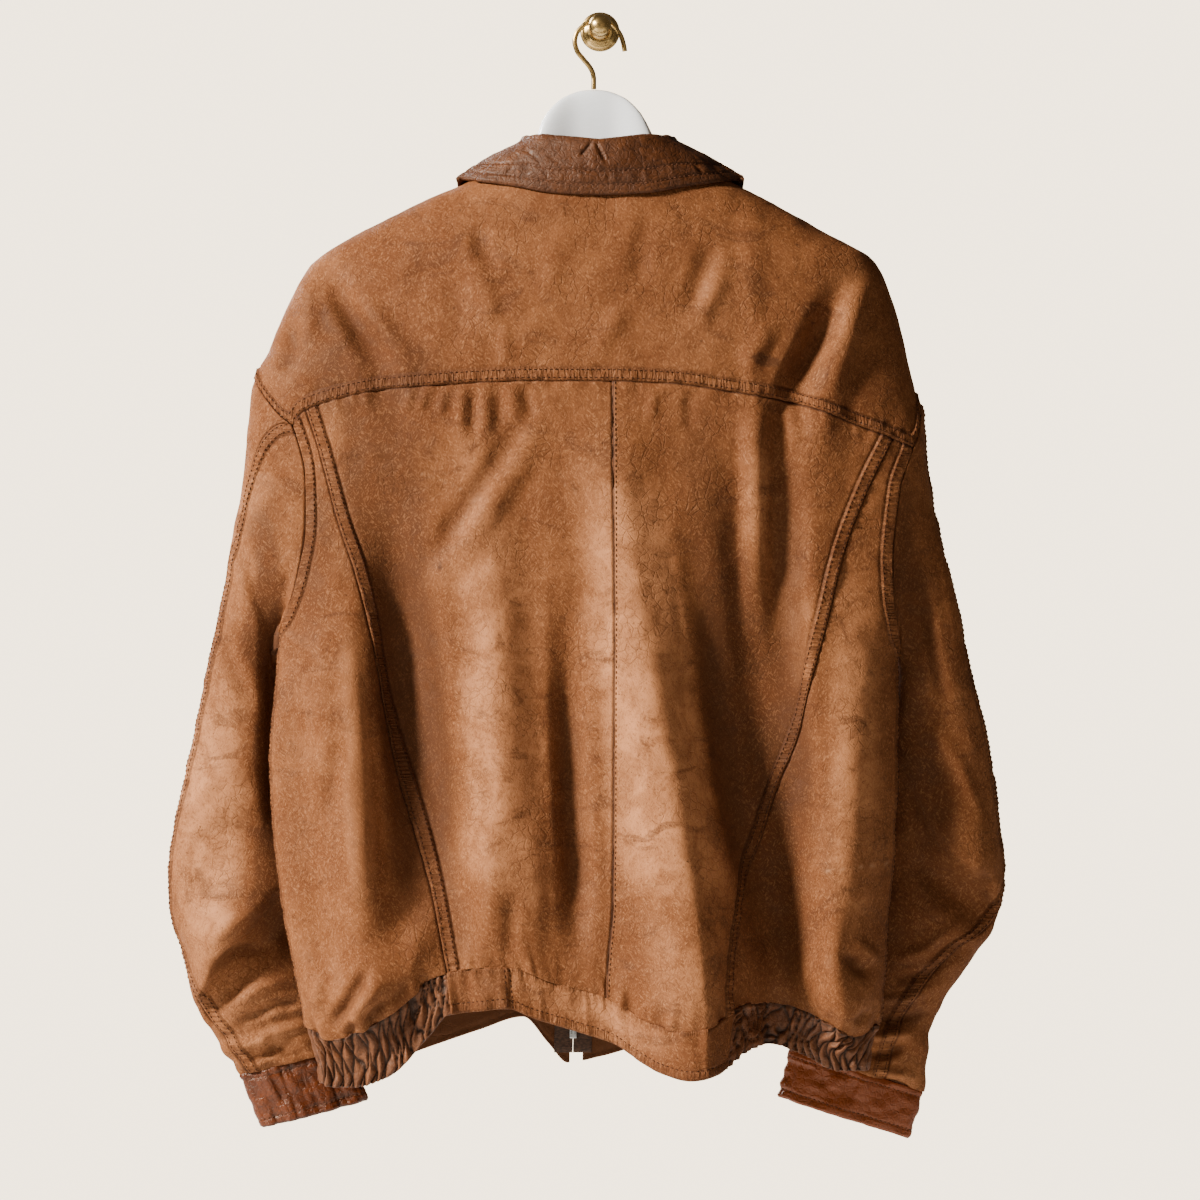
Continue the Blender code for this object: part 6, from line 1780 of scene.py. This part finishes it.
class Look:
    """A procedural material, with short ways to add its nodes."""

    def __init__(self, name, roughness=0.6, metallic=0.0, **sockets):
        self.material = bpy.data.materials.new(name)
        self.material.use_nodes = True
        self.tree = self.material.node_tree
        self.shader = self.tree.nodes["Principled BSDF"]
        self.shader.inputs["Roughness"].default_value = roughness
        self.shader.inputs["Metallic"].default_value = metallic
        for socket, value in sockets.items():
            self.shader.inputs[socket.replace("_", " ")].default_value = value
        self.coordinates = self.tree.nodes.new("ShaderNodeTexCoord").outputs["Object"]
        self.paint = None

    def join(self, value, socket):
        if hasattr(value, "is_output"):
            self.tree.links.new(value, socket)
        else:
            socket.default_value = value

    def node(self, kind, inputs, **settings):
        """A node with its settings, and numbers or other nodes' outputs in its inputs."""
        node = self.tree.nodes.new(f"ShaderNode{kind}")
        for setting, value in settings.items():
            setattr(node, setting, value)
        for socket, value in inputs.items():
            self.join(value, node.inputs[socket])
        return node

    def noise(self, size, detail=3.0, rough=0.55, stretch=(1, 1, 1), warp=0.0, tilt=0.0):
        """Noise whose features are about size metres across, turned by a tilt in degrees."""
        mapping = self.node("Mapping", {"Rotation": (0.0, tilt * pi / 180, 0.0),
                                        "Scale": [size * part for part in stretch],
                                        "Vector": self.coordinates}, vector_type="TEXTURE")
        noise = self.node("TexNoise", {"Scale": 1.0, "Detail": detail, "Roughness": rough,
                                       "Distortion": warp, "Vector": mapping.outputs["Vector"]})
        return noise.outputs["Fac"]

    def cells(self, size, warp=0.0):
        """Cells about size metres across, their edges bent by warp metres."""
        places = self.coordinates
        if warp:
            bend = self.node("TexNoise", {"Scale": 0.6 / size, "Vector": places})
            places = self.node("VectorMath", {0: bend.outputs["Color"], 1: (2 * warp,) * 3,
                                              2: places}, operation="MULTIPLY_ADD").outputs[0]
        mapping = self.node("Mapping", {"Scale": [1 / size] * 3, "Vector": places})
        cells = self.node("TexVoronoi", {"Scale": 1.0, "Vector": mapping.outputs["Vector"]},
                          feature="DISTANCE_TO_EDGE")
        return cells.outputs["Distance"]

    def span(self, value, low, high, start=0.0, end=1.0):
        """The value carried from one range to another, held at its ends."""
        ranges = {"Value": value, "From Min": low, "From Max": high, "To Min": start,
                  "To Max": end}
        return self.node("MapRange", ranges, interpolation_type="SMOOTHSTEP").outputs["Result"]

    def math(self, operation, first, second=0.0):
        return self.node("Math", {0: first, 1: second}, operation=operation).outputs[0]

    def blend(self, share, first, second):
        first, second = [value if hasattr(value, "is_output") else (*value, 1.0)
                         for value in (first, second)]
        return self.node("Mix", {0: share, 6: first, 7: second}, data_type="RGBA").outputs[2]

    def mark(self, name):
        return self.node("Attribute", {}, attribute_name=name).outputs["Fac"]

    def cover(self, share, colour):
        """A colour laid over the paint so far."""
        self.paint = self.blend(share, self.paint, colour)

    def lay(self, source, low, high, most, colour):
        """A colour over the paint: none where the source is low, the most where it is high."""
        if isinstance(source, str):
            source = self.mark(source)
        self.cover(self.span(source, low, high, 0.0, most), colour)

    def colour(self, value):
        self.join(value, self.shader.inputs["Base Color"])

    def roughness(self, value):
        self.join(value, self.shader.inputs["Roughness"])

    def bump(self, *layers):
        """Bumps laid over each other: height, strength and depth in metres."""
        normal = None
        for height, strength, depth in layers:
            node = self.node("Bump", {"Strength": strength, "Distance": depth, "Height": height})
            if normal is not None:
                self.join(normal, node.inputs["Normal"])
            normal = node.outputs["Normal"]
        self.join(normal, self.shader.inputs["Normal"])


WARM_GLOSS = (1.0, 0.82, 0.66, 1.0)
FLESH_SIDE = (0.110, 0.038, 0.014)


def nubuck(name):
    """Brushed tan leather, worn pale on its ridges, with painted shade in its hollows and fold
    troughs and broad painted light and shade.
    """
    look = Look(name, roughness=0.78, Specular_IOR_Level=0.22, Specular_Tint=WARM_GLOSS)
    broad = look.noise(0.11, 3.0, 0.6, warp=0.6)
    blotch = look.noise(0.024, 5.0, 0.62, warp=0.8)
    smudge = look.noise(0.050, 4.0, 0.70, stretch=(1, 1, 0.6), warp=1.0)
    grain = look.noise(0.0016, 3.0, 0.6)
    speck = look.noise(0.0027, 2.0, 0.75)
    left_hair, right_hair = [
        look.noise(0.0011, 2.0, 0.6, stretch=(1, 1, 3.2), warp=1.1, tilt=tilt) for tilt in (-42, 28)
    ]
    swirl = look.span(look.noise(0.008, 2.0, 0.5), 0.44, 0.56)
    hair = look.math("ADD", look.math("MULTIPLY", left_hair, swirl),
                     look.math("MULTIPLY", right_hair, look.math("SUBTRACT", 1.0, swirl)))
    web = look.span(look.cells(0.0080, warp=0.0030), 0.0, 0.09)
    webbed = look.span(look.noise(0.040, 2.0, 0.5), 0.46, 0.60)
    lines = look.math("MULTIPLY", look.math("SUBTRACT", 1.0, web), webbed)
    upright = look.span(look.noise(0.0017, 1.0, 0.5, stretch=(1, 1, 9)), 0.40, 0.58)
    level = look.span(look.noise(0.0017, 1.0, 0.5, stretch=(9, 9, 1)), 0.40, 0.58)
    ribs = look.math("ADD", look.math("MULTIPLY", upright, look.span(look.mark("rib"), 0.0, 1.0)),
                     look.math("MULTIPLY", level, look.span(look.mark("rib"), 0.0, -1.0)))
    ribbed = look.span(look.math("ABSOLUTE", look.mark("rib")), 0.0, 1.0)
    between = look.math("MULTIPLY", look.math("SUBTRACT", ribbed, ribs), 0.55)
    shade = look.span(look.mark("tone"), -1.0, 1.0, 0.30, 0.58)
    pale_hair = look.math("MULTIPLY", look.span(hair, 0.50, 0.66), shade)

    look.paint = look.blend(look.span(broad, 0.34, 0.66), (0.150, 0.046, 0.0125),
                            (0.225, 0.077, 0.0235))
    # Painted light and shade: the tone mark paints broad patches dark and pale, mostly painted
    # shade in troughs and painted light on lit ridges, partly real dirt and wear.
    look.lay("tone", 0.0, -1.0, 0.80, (0.060, 0.017, 0.0040))
    look.lay("tone", 0.0, 1.0, 0.85, (0.57, 0.228, 0.090))
    # Painted shade in the troughs of the back's folds.
    look.lay("fold", 0.002, -0.020, 0.40, (0.060, 0.017, 0.0040))
    look.lay(blotch, 0.34, 0.68, 0.55, (0.115, 0.033, 0.009))
    look.lay(smudge, 0.54, 0.68, 0.60, (0.075, 0.022, 0.007))
    look.lay(hair, 0.48, 0.34, 0.42, (0.080, 0.023, 0.006))
    look.cover(pale_hair, (0.44, 0.185, 0.074))
    look.lay(speck, 0.64, 0.73, 0.70, (0.045, 0.014, 0.005))
    look.cover(between, (0.075, 0.022, 0.006))
    look.cover(look.math("MULTIPLY", lines, 0.28), (0.070, 0.021, 0.006))
    # Painted shade in the hollows of the relief; its raised parts are worn pale.
    look.lay("relief", 0.0002, -0.0050, 0.50, (0.060, 0.018, 0.005))
    look.lay("relief", 0.0016, 0.0055, 0.28, (0.38, 0.150, 0.058))
    look.cover(look.mark("flesh"), FLESH_SIDE)
    # Real stains, dark scratches and seam lines, with painted shade on the sleeves' inner faces by
    # the underarm.
    look.lay("stain", 0.0, 1.0, 0.88, (0.030, 0.010, 0.005))
    look.lay("rub", 0.0, 1.0, 0.7, (0.56, 0.29, 0.15))
    look.colour(look.paint)
    look.roughness(look.span(blotch, 0.3, 0.7, 0.62, 0.84))
    look.bump((blotch, 0.40, 0.0011), (look.math("MULTIPLY", lines, -1.0), 0.45, 0.0005),
              (ribs, 0.70, 0.0007), (hair, 0.80, 0.00045), (grain, 0.40, 0.00020))
    return look.material


def toned(colour, factor):
    """The colour made darker or lighter."""
    return tuple(min(1.0, part * factor) for part in colour)


def smooth_leather(name, dark, light, roughness, wear, coat):
    """Shiny wrinkled leather with a fine grain."""
    look = Look(name, roughness=roughness, Specular_IOR_Level=0.34, Specular_Tint=WARM_GLOSS,
                Coat_Weight=coat, Coat_Roughness=0.25, Coat_Tint=(1.0, 0.86, 0.72, 1.0))
    broad = look.noise(0.045, 4.0, 0.6, warp=0.7)
    blotch = look.noise(0.010, 5.0, 0.65, warp=0.6)
    wrinkle = look.noise(0.0060, 4.0, 0.62, warp=2.2)
    net = look.cells(0.0050, warp=0.0022)
    pores = look.cells(0.0013)
    look.paint = look.blend(look.span(broad, 0.32, 0.68), dark, light)
    look.lay(blotch, 0.35, 0.75, 0.5, toned(dark, 0.45))
    look.lay(wrinkle, 0.46, 0.36, 0.45, toned(dark, 0.40))
    look.lay(wrinkle, 0.58, 0.70, 0.40, toned(light, 1.7))
    look.lay(net, 0.10, 0.0, 0.38, toned(dark, 0.40))
    # Painted shade in the hollows of the relief; its raised parts are worn pale.
    look.lay("relief", 0.0004, -0.0022, 0.6, toned(dark, 0.35))
    look.lay("relief", 0.0012, 0.0036, wear, toned(light, 1.8))
    # Painted light: a positive tone paints the leather paler, as on the right cuff.
    look.lay("tone", 0.0, 1.0, 0.7, toned(light, 2.4))
    look.cover(look.mark("flesh"), FLESH_SIDE)
    # Painted shade in the elastic's gaps between its puffs, and its darker top edge.
    look.lay("stain", 0.0, 1.0, 0.88, (0.020, 0.007, 0.003))
    look.colour(look.paint)
    look.roughness(look.span(blotch, 0.25, 0.75, roughness - 0.10, roughness + 0.16))
    look.bump((wrinkle, 0.60, 0.0011), (look.span(net, 0.0, 0.16), 0.40, 0.0005),
              (look.span(pores, 0.0, 0.22), 0.30, 0.00014))
    return look.material


def thread(name, colour):
    """Twisted thread."""
    look = Look(name, roughness=0.75, Specular_IOR_Level=0.12)
    twist = look.noise(0.0007, 2.0, 0.6, stretch=(1, 1, 2.5))
    look.colour(look.blend(look.span(twist, 0.3, 0.7), colour, toned(colour, 0.5)))
    look.bump((twist, 0.5, 0.0001))
    return look.material


def woven_tape(name):
    """Brown twill tape."""
    look = Look(name, roughness=0.85)
    twill = look.noise(0.0009, 1.0, 0.5, stretch=(3, 1, 1))
    look.colour(look.blend(look.span(twill, 0.35, 0.65), (0.080, 0.034, 0.015),
                           (0.034, 0.014, 0.006)))
    look.bump((twill, 0.6, 0.00025))
    return look.material


def metal(name, colour, tarnish, roughness, size):
    """Plated metal, dulled in patches and finely scratched."""
    look = Look(name, roughness=roughness, metallic=1.0)
    patches = look.noise(size, 4.0, 0.6)
    scratches = look.noise(size * 0.05, 2.0, 0.6, stretch=(1, 1, 8))
    look.colour(look.blend(look.span(patches, 0.42, 0.72, 0.0, 0.8), colour, tarnish))
    look.roughness(look.span(patches, 0.3, 0.75, roughness - 0.06, roughness + 0.20))
    look.bump((scratches, 0.12, 0.00005))
    return look.material


def painted(name):
    """Satin white paint with faint unevenness and scuffs."""
    look = Look(name, roughness=0.28, Specular_IOR_Level=0.5, Coat_Weight=0.25,
                Coat_Roughness=0.15)
    uneven = look.noise(0.020, 3.0, 0.5)
    scuff = look.noise(0.0026, 4.0, 0.7, stretch=(4, 1, 1))
    look.paint = look.blend(look.span(uneven, 0.35, 0.65), (0.955, 0.945, 0.925),
                            (0.975, 0.97, 0.955))
    look.lay(scuff, 0.70, 0.80, 0.25, (0.55, 0.53, 0.50))
    look.colour(look.paint)
    look.roughness(look.span(scuff, 0.4, 0.8, 0.22, 0.40))
    look.bump((uneven, 0.15, 0.0006))
    return look.material


def make_looks():
    return {
        "body": nubuck("worn_nubuck"),
        "band": nubuck("band_nubuck"),
        "elastic": smooth_leather("elastic_leather", (0.112, 0.035, 0.012),
                                  (0.165, 0.056, 0.020), 0.54, 0.35, 0.02),
        "cuff": smooth_leather("shiny_cuff_leather", (0.080, 0.0165, 0.0037),
                               (0.128, 0.029, 0.0070), 0.33, 0.40, 0.12),
        "collar": smooth_leather("worn_collar_leather", (0.068, 0.019, 0.0048),
                                 (0.108, 0.033, 0.0095), 0.52, 0.30, 0.03),
        "thread": thread("brown_thread", (0.055, 0.017, 0.006)),
        "dark_thread": thread("red_brown_thread", (0.15, 0.058, 0.027)),
        "tape": woven_tape("twill_tape"),
        "metal": metal("nickel", (0.72, 0.71, 0.68), (0.34, 0.32, 0.29), 0.30, 0.004),
        "brass": metal("aged_brass", (0.72, 0.47, 0.17), (0.36, 0.22, 0.08), 0.24, 0.006),
        "hanger": painted("satin_white"),
    }


# Camera, light and floor.

def area_light(name, place, aim, size, power, colour):
    light = bpy.data.lights.new(name, "AREA")
    light.shape = "DISK"
    light.size = size
    light.energy = power
    light.color = colour
    item = bpy.data.objects.new(name, light)
    item.location = place
    way = np.subtract(aim, place)
    item.rotation_euler = Vector(way).to_track_quat("-Z", "Y").to_euler()
    bpy.context.scene.collection.objects.link(item)


def make_room():
    """A pale surround that the camera sees, with a dim warm light of its own on the jacket."""
    world = bpy.data.worlds.new("pale room")
    world.use_nodes = True
    tree = world.node_tree
    light = tree.nodes["Background"]
    light.inputs["Color"].default_value = (0.95, 0.86, 0.74, 1.0)
    light.inputs["Strength"].default_value = 0.105
    seen = tree.nodes.new("ShaderNodeBackground")
    seen.inputs["Color"].default_value = (1.0, 0.83, 0.62, 1.0)
    seen.inputs["Strength"].default_value = 4.3
    path = tree.nodes.new("ShaderNodeLightPath")
    choice = tree.nodes.new("ShaderNodeMixShader")
    tree.links.new(path.outputs["Is Camera Ray"], choice.inputs[0])
    tree.links.new(light.outputs[0], choice.inputs[1])
    tree.links.new(seen.outputs[0], choice.inputs[2])
    tree.links.new(choice.outputs[0], tree.nodes["World Output"].inputs["Surface"])
    bpy.context.scene.world = world


def make_studio():
    """The camera straight behind the jacket, a window's light, and the floor."""
    camera = bpy.data.cameras.new("camera")
    camera.lens = LENS
    camera.sensor_width = 36.0
    item = bpy.data.objects.new("camera", camera)
    item.location = (0.0, -ORIGIN_TO_CAMERA, -CAMERA_DROP)
    item.rotation_euler = (pi / 2, 0.0, 0.0)
    bpy.context.scene.collection.objects.link(item)
    bpy.context.scene.camera = item
    area_light("window", (-3.55, -1.9, 1.5), (0.0, -0.1, -0.42), 0.70, 640.0, (1.0, 0.98, 0.94))
    area_light("room", (1.6, -3.6, -0.2), (0.0, -0.1, -0.5), 2.6, 7.0, (1.0, 0.88, 0.72))
    area_light("behind", (-2.2, 2.4, 1.3), (0.0, -0.1, -0.5), 1.4, 130.0, (1.0, 1.0, 1.0))
    make_room()
    corners = [(x * FLOOR_HALF, y * FLOOR_HALF, -FLOOR_DROP)
               for x, y in ((-1, -1), (1, -1), (1, 1), (-1, 1))]
    mesh = make_mesh("floor", corners, [(0, 1, 2, 3)], rounded=False)
    floor = Look("pale_floor", roughness=0.8)
    floor.colour((0.80, 0.80, 0.79, 1.0))
    mesh.materials.append(floor.material)
    item = bpy.data.objects.new("floor", mesh)
    bpy.context.scene.collection.objects.link(item)


def dress_nodes(looks):
    """The solids that stay: the slider, its pull tab and the zip's box."""
    for name in ("zip_slider", "zip_pull", "zip_box"):
        item = next(item for item in bpy.data.objects if item.name.endswith(name)
                    and item.type == "MESH")
        item.data.materials.clear()
        item.data.materials.append(looks["metal"])


def main():
    looks = make_looks()
    holes = {side: armhole(side) for side in ("left", "right")}
    feet, ends = make_back(holes, looks)
    make_yoke(holes, looks)
    waists = {side: make_front(side, hole, looks) for side, hole in holes.items()}
    make_waistband(feet, ends, waists, looks)
    for side in holes:
        make_sleeve(side, holes[side], looks)
    make_collar(looks)
    make_zip(looks)
    make_teeth(looks)
    make_hanger(looks)
    make_hook(looks)
    make_knob(looks)
    dress_nodes(looks)
    make_studio()


main()
